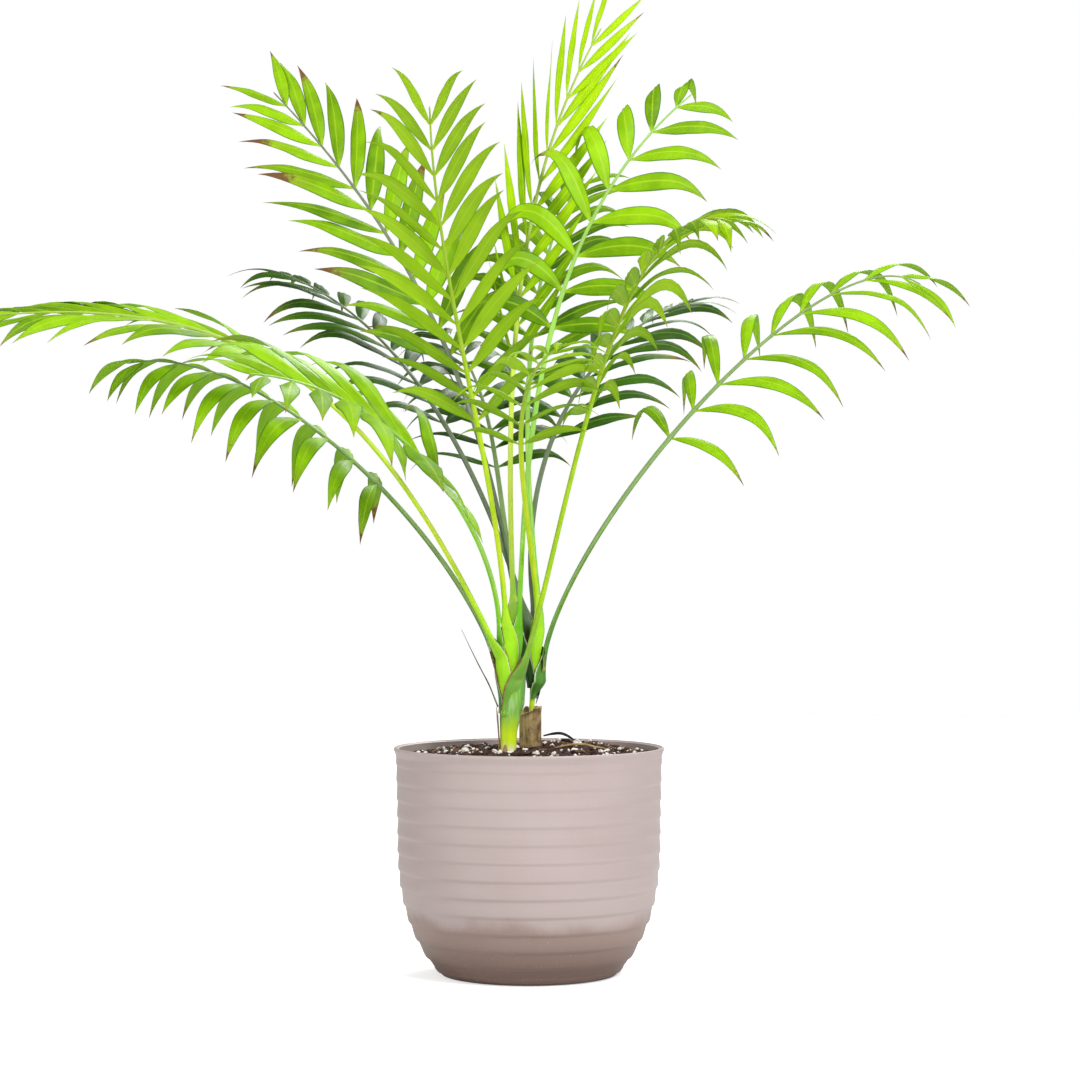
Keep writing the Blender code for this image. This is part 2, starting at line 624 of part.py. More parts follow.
def test_solid(base, sections, tip, start_share):
    """Vertices and faces of a leaflet, from a little off the rachis to its tip."""
    start = [base.lerp(corner, start_share) for corner in sections[0]]
    verts = start + [corner for section in sections for corner in section] + [tip]
    rings = len(sections) + 1
    faces = []
    for r in range(rings - 1):
        for i in range(4):
            j = (i + 1) % 4
            faces.append((4 * r + i, 4 * r + j, 4 * r + 4 + j, 4 * r + 4 + i))
    last = 4 * (rings - 1)
    faces += [(last + i, last + (i + 1) % 4, len(verts) - 1) for i in range(4)]
    return verts, faces


def stalk_rings(stalk, plan):
    """Where the stalk has a ring: along the bare petiole, then two for each pair of leaflets."""
    places = [plan["first"] * i / PETIOLE_RINGS for i in range(PETIOLE_RINGS)]
    half = LEAF_BASE / stalk.length
    for index in range(plan["pairs"]):
        middle = leaflet_place(plan, index)
        places += [middle - half, middle + half]
    return places


def stalk_corners(stalk, along, grow=0.0):
    point, _, across, upper = stalk.at(along)
    r = stalk.radius(along) + grow
    return [point + r * (a * across + b * upper) for a, b in ((1, 1), (-1, 1), (-1, -1), (1, -1))]


def stalk_solid(stalk, plan, grow):
    verts = []
    faces = []
    for along in stalk_rings(stalk, plan):
        verts += stalk_corners(stalk, along, grow)
        start = len(verts) - 4
        if start > 0:
            for i in range(4):
                j = (i + 1) % 4
                faces.append((start - 4 + i, start - 4 + j, start + j, start + i))
    return verts, faces


def settle(stalk, plan, index, side, own, others, leaves):
    """The first way of giving way that keeps a leaflet clear of its own rachis, other stalks and leaves."""
    for give in GIVE_WAY:
        exact = leaflet_shape(stalk, plan, index, side, give, LEAF_THICKNESS)
        if BVHTree.FromPolygons(*test_solid(*exact, 0.06)).overlap(own):
            continue
        padded = leaflet_shape(stalk, plan, index, side, give, LEAF_THICKNESS + 2 * CLEARANCE)
        solid = test_solid(*padded, 0.15)
        tree = BVHTree.FromPolygons(*solid)
        if not any(tree.overlap(other) for other in others) and not (leaves and tree.overlap(leaves)):
            return give, solid
    return None, None


def lay_out_fronds():
    """Settles every leaflet: each one lifts, turns or stays shorter to keep clear of those before it."""
    stalks = {name: Stalk(plan) for name, plan in FRONDS.items()}
    padded = {}
    for name, plan in FRONDS.items():
        padded[name] = BVHTree.FromPolygons(*stalk_solid(stalks[name], plan, CLEARANCE))
    verts = []
    faces = []
    settled = {}
    for name, plan in FRONDS.items():
        own = BVHTree.FromPolygons(*stalk_solid(stalks[name], plan, 0))
        others = [tree for other, tree in padded.items() if other != name]
        for index in range(plan["pairs"]):
            for side in (1, -1):
                leaves = BVHTree.FromPolygons(verts, faces) if faces else None
                give, solid = settle(stalks[name], plan, index, side, own, others, leaves)
                if not give:
                    continue
                settled[name, index, side] = give
                shift = len(verts)
                verts += solid[0]
                faces += [tuple(i + shift for i in face) for face in solid[1]]
    total = 2 * sum(plan["pairs"] for plan in FRONDS.values())
    moved = sum(give != GIVE_WAY[0] for give in settled.values())
    print("leaflets", len(settled), "of", total, "and", moved, "gave way")
    return stalks, settled


def make_frond(name, plan, stalk, settled, material):
    """One closed solid: a square stalk whose side faces grow out into the leaflets."""
    mesh_data = bmesh.new()
    places = stalk_rings(stalk, plan)
    rings = [[mesh_data.verts.new(corner) for corner in stalk_corners(stalk, along)] for along in places]
    leafy = range(PETIOLE_RINGS, len(rings) - 1, 2)
    mesh_data.faces.new(rings[0][::-1])
    mesh_data.faces.new(rings[-1])
    for i, (a, b) in enumerate(zip(rings, rings[1:])):
        for k in range(4):
            if i in leafy and k in (1, 3):
                continue
            j = (k + 1) % 4
            mesh_data.faces.new((a[k], a[j], b[j], b[k]))
        if i not in leafy:
            continue
        index = (i - PETIOLE_RINGS) // 2
        for side, loop in ((1, (a[3], b[3], b[0], a[0])), (-1, (a[2], b[2], b[1], a[1]))):
            give = settled.get((name, index, side))
            if not give:
                mesh_data.faces.new(loop[::-side])
                continue
            _, sections, tip = leaflet_shape(stalk, plan, index, side, give, LEAF_THICKNESS)
            last = loop[::-side]
            for section in sections:
                corners = [mesh_data.verts.new(corner) for corner in section][::-side]
                bridge_blade(mesh_data, last, corners)
                last = corners
            close_to_point(mesh_data, last, mesh_data.verts.new(tip))
    return add_object(name, mesh_data, material, smooth=False)


def make_fronds():
    greens = {
        "young": principled("young_leaf", YOUNG_GREEN, 0.35),
        "dark": principled("dark_leaf", DARK_GREEN, 0.35),
        "leaf": principled("leaf", LEAF_GREEN, 0.35),
    }
    stalks, settled = lay_out_fronds()
    for name, plan in FRONDS.items():
        kind = "young" if name in YOUNG_FRONDS else "dark" if name in DARK_FRONDS else "leaf"
        make_frond(name, plan, stalks[name], settled, greens[kind])


def main():
    for obj in list(bpy.data.objects):
        bpy.data.objects.remove(obj, do_unlink=True)
    make_pot()
    mix = make_mix()
    make_shoots()
    make_sheaths()
    make_fibre_and_twigs()
    make_loose_pieces(mix)
    make_fronds()


main()
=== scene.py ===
# Young feather palm with two shoots in a ribbed round pot. Metres, +Z up, origin under the pot's middle.
import math
import random

import bmesh
import bpy
from mathutils import Matrix, Vector, noise


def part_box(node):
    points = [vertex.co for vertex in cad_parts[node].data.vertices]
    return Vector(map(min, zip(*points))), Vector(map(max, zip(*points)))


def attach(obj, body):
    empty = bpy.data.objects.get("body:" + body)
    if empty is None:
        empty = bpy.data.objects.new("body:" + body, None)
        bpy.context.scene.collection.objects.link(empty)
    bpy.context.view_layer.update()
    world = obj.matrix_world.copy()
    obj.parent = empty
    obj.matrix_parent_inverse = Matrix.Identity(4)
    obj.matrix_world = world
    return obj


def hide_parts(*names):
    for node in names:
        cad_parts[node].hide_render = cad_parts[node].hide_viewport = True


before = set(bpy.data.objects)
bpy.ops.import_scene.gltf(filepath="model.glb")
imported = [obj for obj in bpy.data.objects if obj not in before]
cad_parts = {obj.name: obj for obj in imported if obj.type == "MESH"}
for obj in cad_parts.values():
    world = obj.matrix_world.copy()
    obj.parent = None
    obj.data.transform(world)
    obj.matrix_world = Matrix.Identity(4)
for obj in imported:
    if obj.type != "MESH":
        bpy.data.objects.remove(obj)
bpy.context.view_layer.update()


def feed(tree, socket, value):
    if isinstance(value, bpy.types.NodeSocket):
        tree.links.new(value, socket)
    else:
        socket.default_value = value


def addNode(tree, kind, **settings):
    node = tree.nodes.new(kind)
    for key, value in settings.items():
        setattr(node, key, value)
    return node


def addMaths(tree, operation, first, second=0.0, clamp=False):
    node = addNode(tree, "ShaderNodeMath", operation=operation, use_clamp=clamp)
    feed(tree, node.inputs[0], first)
    feed(tree, node.inputs[1], second)
    return node.outputs[0]


# base + value x factor.
def addScaled(tree, base, value, factor):
    return addMaths(tree, "ADD", base, addMaths(tree, "MULTIPLY", value, factor))


# base + value x factor, for a value that swings round a half.
def addSwing(tree, base, value, factor):
    return addScaled(tree, base, addMaths(tree, "SUBTRACT", value, 0.5), factor)


def addRange(tree, value, fromLow, fromHigh, toLow=0.0, toHigh=1.0):
    node = addNode(tree, "ShaderNodeMapRange", interpolation_type="SMOOTHSTEP")
    for socket, number in zip(node.inputs, (value, fromLow, fromHigh, toLow, toHigh)):
        feed(tree, socket, number)
    return node.outputs[0]


def addMix(tree, factor, first, second, mode="MIX"):
    node = addNode(tree, "ShaderNodeMix", data_type="RGBA", blend_type=mode)
    feed(tree, node.inputs[0], factor)
    for socket, colour in ((node.inputs[6], first), (node.inputs[7], second)):
        feed(tree, socket, (*colour, 1) if isinstance(colour, tuple) else colour)
    return node.outputs[2]


# A colour tinted by another where the mask is on, up to a share.
def addTint(tree, colour, tint, mask, share):
    return addMix(tree, addMaths(tree, "MULTIPLY", mask, share), colour, tint)


def addNoise(tree, vector, scale, detail=3.0, rough=0.55, distortion=0.0):
    node = addNode(tree, "ShaderNodeTexNoise")
    feed(tree, node.inputs["Vector"], vector)
    settings = {"Scale": scale, "Detail": detail, "Roughness": rough, "Distortion": distortion}
    for name, value in settings.items():
        feed(tree, node.inputs[name], value)
    return node.outputs["Fac"]


def addStretch(tree, vector, scale):
    node = addNode(tree, "ShaderNodeMapping")
    feed(tree, node.inputs["Vector"], vector)
    node.inputs["Scale"].default_value = scale
    return node.outputs[0]


def addCombine(tree, x, y, z):
    node = addNode(tree, "ShaderNodeCombineXYZ")
    for socket, value in zip(node.inputs, (x, y, z)):
        feed(tree, socket, value)
    return node.outputs[0]


def addBump(tree, height, strength, distance):
    node = addNode(tree, "ShaderNodeBump")
    feed(tree, node.inputs["Height"], height)
    node.inputs["Strength"].default_value = strength
    node.inputs["Distance"].default_value = distance
    return node.outputs[0]


def readLayer(tree, name):
    layer = addNode(tree, "ShaderNodeAttribute", attribute_type="GEOMETRY", attribute_name=name)
    split = addNode(tree, "ShaderNodeSeparateXYZ")
    tree.links.new(layer.outputs["Vector"], split.inputs[0])
    return split.outputs


def objectPlace(tree):
    return addNode(tree, "ShaderNodeTexCoord").outputs["Object"]


def setSurface(tree, shader, colour, rough, normal):
    for socket, value in (("Base Color", colour), ("Roughness", rough), ("Normal", normal)):
        feed(tree, shader.inputs[socket], value)


def newMaterial(name, **plain):
    material = bpy.data.materials.new(name)
    material.use_nodes = True
    shader = material.node_tree.nodes["Principled BSDF"]
    for socket, value in plain.items():
        shader.inputs[socket.replace("_", " ")].default_value = value
    return material, material.node_tree, shader


def newGroup(name, inputs, outputs):
    group = bpy.data.node_groups.new(name, "ShaderNodeTree")
    for socket, kind in inputs:
        group.interface.new_socket(name=socket, in_out="INPUT", socket_type=kind)
    for socket, kind in outputs:
        group.interface.new_socket(name=socket, in_out="OUTPUT", socket_type=kind)
    return group, group.nodes.new("NodeGroupInput").outputs, group.nodes.new("NodeGroupOutput").inputs


def useGroup(tree, group, **values):
    node = addNode(tree, "ShaderNodeGroup", node_tree=group)
    for name, value in values.items():
        feed(tree, node.inputs[name], value)
    return node.outputs


# Parallel veins that run the length of a blade: thin pale lines and the relief between them.
def makeVeinGroup():
    group, given, out = newGroup(
        "parallelVeins",
        (("Across", "NodeSocketFloat"), ("Along", "NodeSocketFloat"), ("Count", "NodeSocketFloat")),
        (("Line", "NodeSocketFloat"), ("Height", "NodeSocketFloat")))
    drawn = addMaths(group, "MULTIPLY", given["Along"], 3.0)
    wander = addNoise(group, addCombine(group, given["Across"], drawn, 0.0), 1.6, 2)
    shifted = addScaled(group, given["Across"], wander, 0.09)
    turns = addMaths(group, "MULTIPLY", shifted, given["Count"])
    wave = addMaths(group, "SINE", addMaths(group, "MULTIPLY", turns, math.tau))
    feed(group, out["Line"], addRange(group, wave, 0.55, 1.0))
    feed(group, out["Height"], addScaled(group, 0.5, wave, 0.5))
    return group


# Dried margin and tip of a blade: grows in from the tip and the edges as Dryness goes up.
def makeDryGroup():
    group, given, out = newGroup("dryEdge", (("Across", "NodeSocketFloat"), ("Along", "NodeSocketFloat"),
                                             ("Dryness", "NodeSocketFloat"), ("Place", "NodeSocketVector")),
                                 (("Mask", "NodeSocketFloat"),))
    edge = addMaths(group, "POWER", addMaths(group, "ABSOLUTE", given["Across"]), 6.0)
    reach = addScaled(group, given["Along"], edge, 0.05)
    reach = addSwing(group, reach, addNoise(group, given["Place"], 260, 4), 0.30)
    start = addMaths(group, "SUBTRACT", 1.04, addMaths(group, "MULTIPLY", given["Dryness"], 0.22))
    feed(group, out["Mask"], addRange(group, addMaths(group, "SUBTRACT", reach, start), -0.05, 0.06))
    return group


# Soft blotches that keep a living surface from being one flat colour.
def makeMottleGroup():
    group, given, out = newGroup("mottle", (("Place", "NodeSocketVector"), ("Scale", "NodeSocketFloat"),
                                            ("Seed", "NodeSocketFloat")), (("Mask", "NodeSocketFloat"),))
    moved = addNode(group, "ShaderNodeVectorMath", operation="ADD")
    feed(group, moved.inputs[0], given["Place"])
    feed(group, moved.inputs[1], addCombine(group, given["Seed"], given["Seed"], given["Seed"]))
    spots = addNoise(group, moved.outputs[0], given["Scale"], 4)
    feed(group, out["Mask"], addRange(group, spots, 0.32, 0.68))
    return group


veinGroup = makeVeinGroup()
dryGroup = makeDryGroup()
mottleGroup = makeMottleGroup()
print("node groups ready")


leafLooks = {
    "youngLeaf": {"deep": (0.080, 0.290, 0.001), "bright": (0.560, 0.880, 0.001), "vein": (0.76, 0.92, 0.04),
                  "under": (0.40, 0.62, 0.04), "glow": (0.85, 1.00, 0.001), "through": 0.30},
    "greenLeaf": {"deep": (0.016, 0.110, 0.001), "bright": (0.400, 0.760, 0.001), "vein": (0.56, 0.78, 0.04),
                  "under": (0.24, 0.44, 0.05), "glow": (0.60, 0.92, 0.002), "through": 0.25},
    # shadedLeaf is a darker copy of the green leaf finish: painted shade for fronds at the back of the crown.
    "shadedLeaf": {"deep": (0.006, 0.036, 0.003), "bright": (0.090, 0.270, 0.004), "vein": (0.20, 0.38, 0.05),
                 "under": (0.08, 0.18, 0.05), "glow": (0.18, 0.46, 0.006), "through": 0.20},
}
dryBrown = (0.235, 0.120, 0.045)


def makeLeafMaterial(name, looks):
    material, tree, shader = newMaterial(name, Specular_IOR_Level=0.16)
    across, along, under = readLayer(tree, "coords")
    tone, dryness, seed = readLayer(tree, "tones")
    place = objectPlace(tree)
    veins = useGroup(tree, veinGroup, Across=across, Along=along, Count=7.0)
    blotch = useGroup(tree, mottleGroup, Place=place, Scale=55.0, Seed=seed)["Mask"]
    dry = useGroup(tree, dryGroup, Across=across, Along=along, Dryness=dryness, Place=place)["Mask"]
    # The tone layer also carries painted shade that darkens leaflets deep inside the crown.
    share = addScaled(tree, addMaths(tree, "MULTIPLY", tone, 0.75), blotch, 0.25)
    colour = addMix(tree, share, looks["deep"], looks["bright"])
    colour = addTint(tree, colour, looks["vein"], veins["Line"], 0.30)
    offMiddle = addMaths(tree, "ABSOLUTE", across)
    rib = addRange(tree, offMiddle, 0.13, 0.03)
    colour = addTint(tree, colour, looks["vein"], rib, 0.55)
    colour = addMix(tree, addRange(tree, offMiddle, 0.80, 1.0, 0.0, 0.8), colour, looks["deep"])
    colour = addMix(tree, addRange(tree, along, 0.10, 0.0, 0.0, 0.7), colour, looks["vein"])
    colour = addTint(tree, colour, looks["under"], under, 0.55)
    yellowing = addRange(tree, addScaled(tree, along, dryness, 0.25), 0.80, 1.15)
    colour = addTint(tree, colour, (0.42, 0.46, 0.05), yellowing, 0.5)
    colour = addMix(tree, dry, colour, dryBrown)
    feed(tree, shader.inputs["Base Color"], colour)
    rough = addScaled(tree, 0.34, blotch, 0.12)
    rough = addScaled(tree, rough, under, 0.14)
    feed(tree, shader.inputs["Roughness"], addScaled(tree, rough, dry, 0.3))
    grain = addNoise(tree, place, 1400, 2)
    relief = addScaled(tree, veins["Height"], grain, 0.35)
    normal = addBump(tree, relief, 0.35, 0.00025)
    feed(tree, shader.inputs["Normal"], normal)
    glow = addNode(tree, "ShaderNodeBsdfTranslucent")
    feed(tree, glow.inputs["Color"], addMix(tree, dry, addMix(tree, 0.55, colour, looks["glow"]), dryBrown))
    feed(tree, glow.inputs["Normal"], normal)
    both = addNode(tree, "ShaderNodeMixShader")
    both.inputs[0].default_value = looks["through"]
    tree.links.new(shader.outputs[0], both.inputs[1])
    tree.links.new(glow.outputs[0], both.inputs[2])
    tree.links.new(both.outputs[0], tree.nodes["Material Output"].inputs["Surface"])
    return material


stalkLooks = {
    "yellowStalk": {"foot": (0.40, 0.80, 0.006), "middle": (0.60, 0.78, 0.010), "far": (0.36, 0.52, 0.03),
                    "margin": (0.62, 0.66, 0.30)},
    "brightStalk": {"foot": (0.20, 0.62, 0.004), "middle": (0.28, 0.66, 0.005), "far": (0.22, 0.48, 0.02),
                    "margin": (0.58, 0.72, 0.38)},
    "silverStalk": {"foot": (0.20, 0.46, 0.06), "middle": (0.44, 0.72, 0.012), "far": (0.34, 0.52, 0.03),
                    "margin": (0.30, 0.17, 0.07)},
    "oliveStalk": {"foot": (0.06, 0.26, 0.012), "middle": (0.13, 0.30, 0.015), "far": (0.16, 0.32, 0.03),
                   "margin": (0.55, 0.62, 0.42)},
    # shadedStalk is a darker copy of the stalk finish: painted shade for stalks at the back of the crown.
    "shadedStalk": {"foot": (0.018, 0.105, 0.010), "middle": (0.055, 0.105, 0.035), "far": (0.12, 0.17, 0.08),
                  "margin": (0.45, 0.50, 0.36)},
}


def makeStalkMaterial(name, looks):
    material, tree, shader = newMaterial(name, Specular_IOR_Level=0.14, Subsurface_Weight=0.10,
                                         Subsurface_Scale=0.002)
    shader.inputs["Subsurface Radius"].default_value = (0.6, 1.0, 0.2)
    around, along, inner = readLayer(tree, "coords")
    stretch, margin, seed = readLayer(tree, "tones")
    place = objectPlace(tree)
    wound = addMaths(tree, "MULTIPLY", around, 9.0)
    drawn = addMaths(tree, "MULTIPLY", along, 2.5)
    fibres = addNoise(tree, addCombine(tree, wound, drawn, seed), 2.4, 4)
    blotch = useGroup(tree, mottleGroup, Place=place, Scale=70.0, Seed=seed)["Mask"]
    colour = addMix(tree, addRange(tree, stretch, 0.0, 0.35), looks["foot"], looks["middle"])
    colour = addMix(tree, addRange(tree, stretch, 0.85, 1.5), colour, looks["far"])
    colour = addMix(tree, addRange(tree, fibres, 0.45, 0.75, 0.0, 0.35), colour, looks["margin"])
    colour = addMix(tree, addMaths(tree, "MULTIPLY", blotch, 0.30), colour, looks["foot"], "MULTIPLY")
    colour = addTint(tree, colour, looks["margin"], inner, 0.25)
    torn = addSwing(tree, margin, addNoise(tree, place, 420, 4), 0.5)
    colour = addMix(tree, addRange(tree, torn, 0.55, 0.75), colour, looks["margin"])
    colour = addMix(tree, addRange(tree, torn, 0.86, 0.98), colour, (0.16, 0.085, 0.035))
    specks = addRange(tree, addNoise(tree, place, 520, 2), 0.70, 0.76, 0.0, 0.30)
    colour = addMix(tree, specks, colour, (0.14, 0.10, 0.04))
    setSurface(tree, shader, colour, addScaled(tree, 0.30, blotch, 0.16), addBump(tree, fibres, 0.3, 0.00010))
    return material


# In plasticLooks, low is painted shade with painted brown reflected light for the lower wall, and foot is
# painted shade at the base.
plasticLooks = {
    "colour": (0.435, 0.350, 0.335), "dusty": (0.498, 0.412, 0.400), "low": (0.285, 0.195, 0.160),
    "foot": (0.130, 0.072, 0.050), "bounceShadeFrom": 0.060, "bounceShadeTo": 0.046, "footShadeFrom": 0.044, "footShadeTo": 0.004,
}


def makePlasticMaterial(looks):
    material, tree, shader = newMaterial("taupePlastic", Specular_IOR_Level=0.5, Coat_Weight=0.06,
                                         Coat_Roughness=0.3)
    place = objectPlace(tree)
    height = addNode(tree, "ShaderNodeSeparateXYZ")
    feed(tree, height.inputs[0], place)
    blotch = useGroup(tree, mottleGroup, Place=place, Scale=14.0, Seed=0.0)["Mask"]
    bands = addNoise(tree, addStretch(tree, place, (3, 3, 130)), 1.0, 2)
    colour = addTint(tree, looks["colour"], looks["dusty"], blotch, 0.35)
    colour = addMix(tree, addRange(tree, bands, 0.45, 0.7, 0.0, 0.25), colour, looks["dusty"])
    # Painted shade and painted brown reflected light: the wall turns browner and darker towards its lower
    # part.
    low = addRange(tree, addScaled(tree, height.outputs[2], blotch, 0.010),
                   looks["bounceShadeFrom"], looks["bounceShadeTo"])
    colour = addTint(tree, colour, looks["low"], low, 0.85)
    # Painted shade: the bottom of the pot darkens further towards its lower edge.
    foot = addRange(tree, height.outputs[2], looks["footShadeFrom"], looks["footShadeTo"], 0.0, 0.8)
    colour = addMix(tree, foot, colour, looks["foot"])
    dust = addRange(tree, addNoise(tree, place, 900, 3), 0.66, 0.72, 0.0, 0.4)
    colour = addMix(tree, dust, colour, (0.70, 0.64, 0.60))
    feed(tree, shader.inputs["Base Color"], colour)
    feed(tree, shader.inputs["Roughness"], addScaled(tree, 0.40, blotch, 0.14))
    grain = addScaled(tree, addNoise(tree, place, 1800, 2), bands, 0.8)
    feed(tree, shader.inputs["Normal"], addBump(tree, grain, 0.12, 0.0004))
    return material


mixLooks = {"dark": (0.016, 0.006, 0.005), "brown": (0.095, 0.042, 0.030), "pale": (0.34, 0.23, 0.18)}
barkLooks = {"dark": (0.045, 0.020, 0.012), "brown": (0.150, 0.070, 0.040), "pale": (0.36, 0.22, 0.13)}


def makeCrumbMaterial(name, looks, fleck):
    material, tree, shader = newMaterial(name, Specular_IOR_Level=0.25)
    place = objectPlace(tree)
    tone, _, seed = readLayer(tree, "tones")
    blotch = useGroup(tree, mottleGroup, Place=place, Scale=180.0, Seed=seed)["Mask"]
    fine = addNoise(tree, place, 1500, 5, 0.7)
    colour = addTint(tree, looks["dark"], looks["brown"], addMaths(tree, "ADD", blotch, tone), 0.5)
    colour = addMix(tree, addRange(tree, fine, 0.62, 0.74, 0.0, fleck), colour, looks["pale"])
    setSurface(tree, shader, colour, addScaled(tree, 0.72, fine, 0.25), addBump(tree, fine, 0.7, 0.0008))
    return material


fibreLooks = {
    "oldSheath": {"dark": (0.120, 0.070, 0.030), "pale": (0.460, 0.330, 0.150), "edge": (0.60, 0.46, 0.26)},
    "drySheath": {"dark": (0.20, 0.10, 0.05), "pale": (0.58, 0.36, 0.20), "edge": (0.66, 0.45, 0.30)},
    "tornSheath": {"dark": (0.10, 0.16, 0.03), "pale": (0.42, 0.52, 0.10), "edge": (0.10, 0.05, 0.025)},
    "leafFibre": {"dark": (0.055, 0.062, 0.040), "pale": (0.16, 0.16, 0.10), "edge": (0.20, 0.18, 0.12)},
    "darkTwig": {"dark": (0.010, 0.007, 0.006), "pale": (0.050, 0.033, 0.022), "edge": (0.08, 0.05, 0.03)},
    "tanRoot": {"dark": (0.24, 0.13, 0.055), "pale": (0.50, 0.33, 0.15), "edge": (0.55, 0.40, 0.22)},
}


# Dead, fibrous stuff: long streaks between a dark and a pale tone, and a dried edge.
def makeFibreMaterial(name, looks):
    material, tree, shader = newMaterial(name, Specular_IOR_Level=0.3)
    along = readLayer(tree, "coords")[1]
    _, margin, seed = readLayer(tree, "tones")
    place = objectPlace(tree)
    streaks = addNoise(tree, addStretch(tree, place, (900, 900, 70)), 1.0, 5, 0.65)
    blotch = useGroup(tree, mottleGroup, Place=place, Scale=110.0, Seed=seed)["Mask"]
    share = addScaled(tree, addMaths(tree, "MULTIPLY", streaks, 0.7), blotch, 0.45)
    colour = addMix(tree, addRange(tree, share, 0.30, 0.85), looks["dark"], looks["pale"])
    rim = addSwing(tree, margin, streaks, 0.6)
    colour = addMix(tree, addRange(tree, rim, 0.72, 0.95), colour, looks["edge"])
    low = addRange(tree, along, 0.30, 0.0, 0.0, 0.6)
    colour = addMix(tree, low, colour, looks["dark"])
    setSurface(tree, shader, colour, addScaled(tree, 0.62, blotch, 0.25), addBump(tree, streaks, 0.6, 0.0006))
    return material


def makePerliteMaterial():
    material, tree, shader = newMaterial("perlite", Specular_IOR_Level=0.35)
    place = objectPlace(tree)
    pits = addNoise(tree, place, 1600, 4, 0.65)
    stain = useGroup(tree, mottleGroup, Place=place, Scale=260.0, Seed=3.0)["Mask"]
    colour = addTint(tree, (0.93, 0.90, 0.87), (0.66, 0.56, 0.50), stain, 0.5)
    colour = addMix(tree, addRange(tree, pits, 0.62, 0.74, 0.0, 0.5), colour, (0.30, 0.22, 0.18))
    setSurface(tree, shader, colour, addScaled(tree, 0.65, pits, 0.25), addBump(tree, pits, 0.6, 0.0006))
    return material


finishes = {name: makeLeafMaterial(name, looks) for name, looks in leafLooks.items()}
finishes.update({name: makeStalkMaterial(name, looks) for name, looks in stalkLooks.items()})
finishes.update({name: makeFibreMaterial(name, looks) for name, looks in fibreLooks.items()})
finishes["plastic"] = makePlasticMaterial(plasticLooks)
finishes["mix"] = makeCrumbMaterial("pottingMix", mixLooks, 0.5)
finishes["bark"] = makeCrumbMaterial("barkChip", barkLooks, 0.6)
finishes["perlite"] = makePerliteMaterial()
print("finishes ready:", len(finishes))


# A shape: its vertices and faces, and two layers of numbers that the finishes read.
def newShape():
    return {"verts": [], "faces": [], "slots": [], "coords": [], "tones": []}


def addVert(shape, point, coords=(0, 0, 0), tones=(0, 0, 0)):
    shape["verts"].append(tuple(point))
    shape["coords"].append(coords)
    shape["tones"].append(tones)
    return len(shape["verts"]) - 1


def addFace(shape, corners, slot=0):
    shape["faces"].append(tuple(corners))
    shape["slots"].append(slot)


def bridgeLoops(shape, lower, upper, slot=0, closed=True):
    count = len(lower)
    for i in range(count if closed else count - 1):
        j = (i + 1) % count
        addFace(shape, (lower[i], lower[j], upper[j], upper[i]), slot)


def closeLoop(shape, loop, tip, slot=0):
    for i in range(len(loop)):
        addFace(shape, (loop[i], loop[(i + 1) % len(loop)], tip), slot)


def makePiece(name, shape, materials, nodes, sharp=None):
    mesh = bpy.data.meshes.new(name)
    mesh.from_pydata(shape["verts"], [], shape["faces"])
    mesh.polygons.foreach_set("material_index", shape["slots"])
    for layer in ("coords", "tones"):
        data = mesh.attributes.new(layer, "FLOAT_VECTOR", "POINT").data
        data.foreach_set("vector", [float(number) for point in shape[layer] for number in point])
    for material in materials:
        mesh.materials.append(finishes[material])
    work = bmesh.new()
    work.from_mesh(mesh)
    bmesh.ops.recalc_face_normals(work, faces=work.faces)
    work.to_mesh(mesh)
    work.free()
    mesh.shade_smooth()
    if sharp:
        mesh.set_sharp_from_angle(angle=math.radians(sharp))
    piece = bpy.data.objects.new(name, mesh)
    bpy.context.scene.collection.objects.link(piece)
    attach(piece, "root")
    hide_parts(*nodes)
    return piece


def circle(count):
    return [(math.cos(math.tau * i / count), math.sin(math.tau * i / count)) for i in range(count)]


# A point on a ring round an upright axis, and the way out from the axis there.
def ringPlace(centre, height, angle, radius):
    out = Vector((math.cos(angle), math.sin(angle), 0))
    return Vector((centre[0], centre[1], height)) + out * radius, out


def smoothStep(value, low=0.0, high=1.0):
    share = min(1.0, max(0.0, (value - low) / (high - low)))
    return share * share * (3 - 2 * share)


pot = {
    "height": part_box("pot")[1].z, "rim": 0.1025, "neck": 0.1010, "lip": 0.0070, "shoulderHeight": 0.112,
    "shoulder": 0.0997, "foot": 0.0675, "wall": 0.0024, "floor": 0.0035, "ribs": 12, "ribTop": 0.158,
    "ribBottom": 0.012, "ribDepth": 0.00085, "ribFade": 0.168, "lipRound": 0.0012,
    "segments": 160, "drains": 6, "drainRadius": 0.004, "drainRing": 0.040,
}


def wallRadius(height):
    if height >= pot["shoulderHeight"]:
        rise = (height - pot["shoulderHeight"]) / (pot["height"] - pot["shoulderHeight"])
        return pot["shoulder"] + (pot["neck"] - pot["shoulder"]) * rise
    drop = 1 - height / pot["shoulderHeight"]
    return pot["shoulder"] - (pot["shoulder"] - pot["foot"]) * drop ** 2.9


# Bands that overlap like boards: each steps out sharply at its lower edge and leans back in above it.
def ribbedRadius(height):
    pitch = (pot["ribTop"] - pot["ribBottom"]) / (pot["ribs"] - 1)
    turn = (height - pot["ribBottom"]) / pitch
    if turn < -0.5 or turn > pot["ribs"]:
        return wallRadius(height)
    share = turn % 1
    step = smoothStep(share, 0.0, 0.16) * (1 - smoothStep(share, 0.16, 1.0)) if turn > 0 else 0
    lower = 0.55 + 1.15 * (1 - height / pot["height"]) ** 1.2
    fade = smoothStep(height, pot["ribTop"], pot["ribFade"])
    return wallRadius(height) + pot["ribDepth"] * lower * (step - 0.5) * (1 - fade)


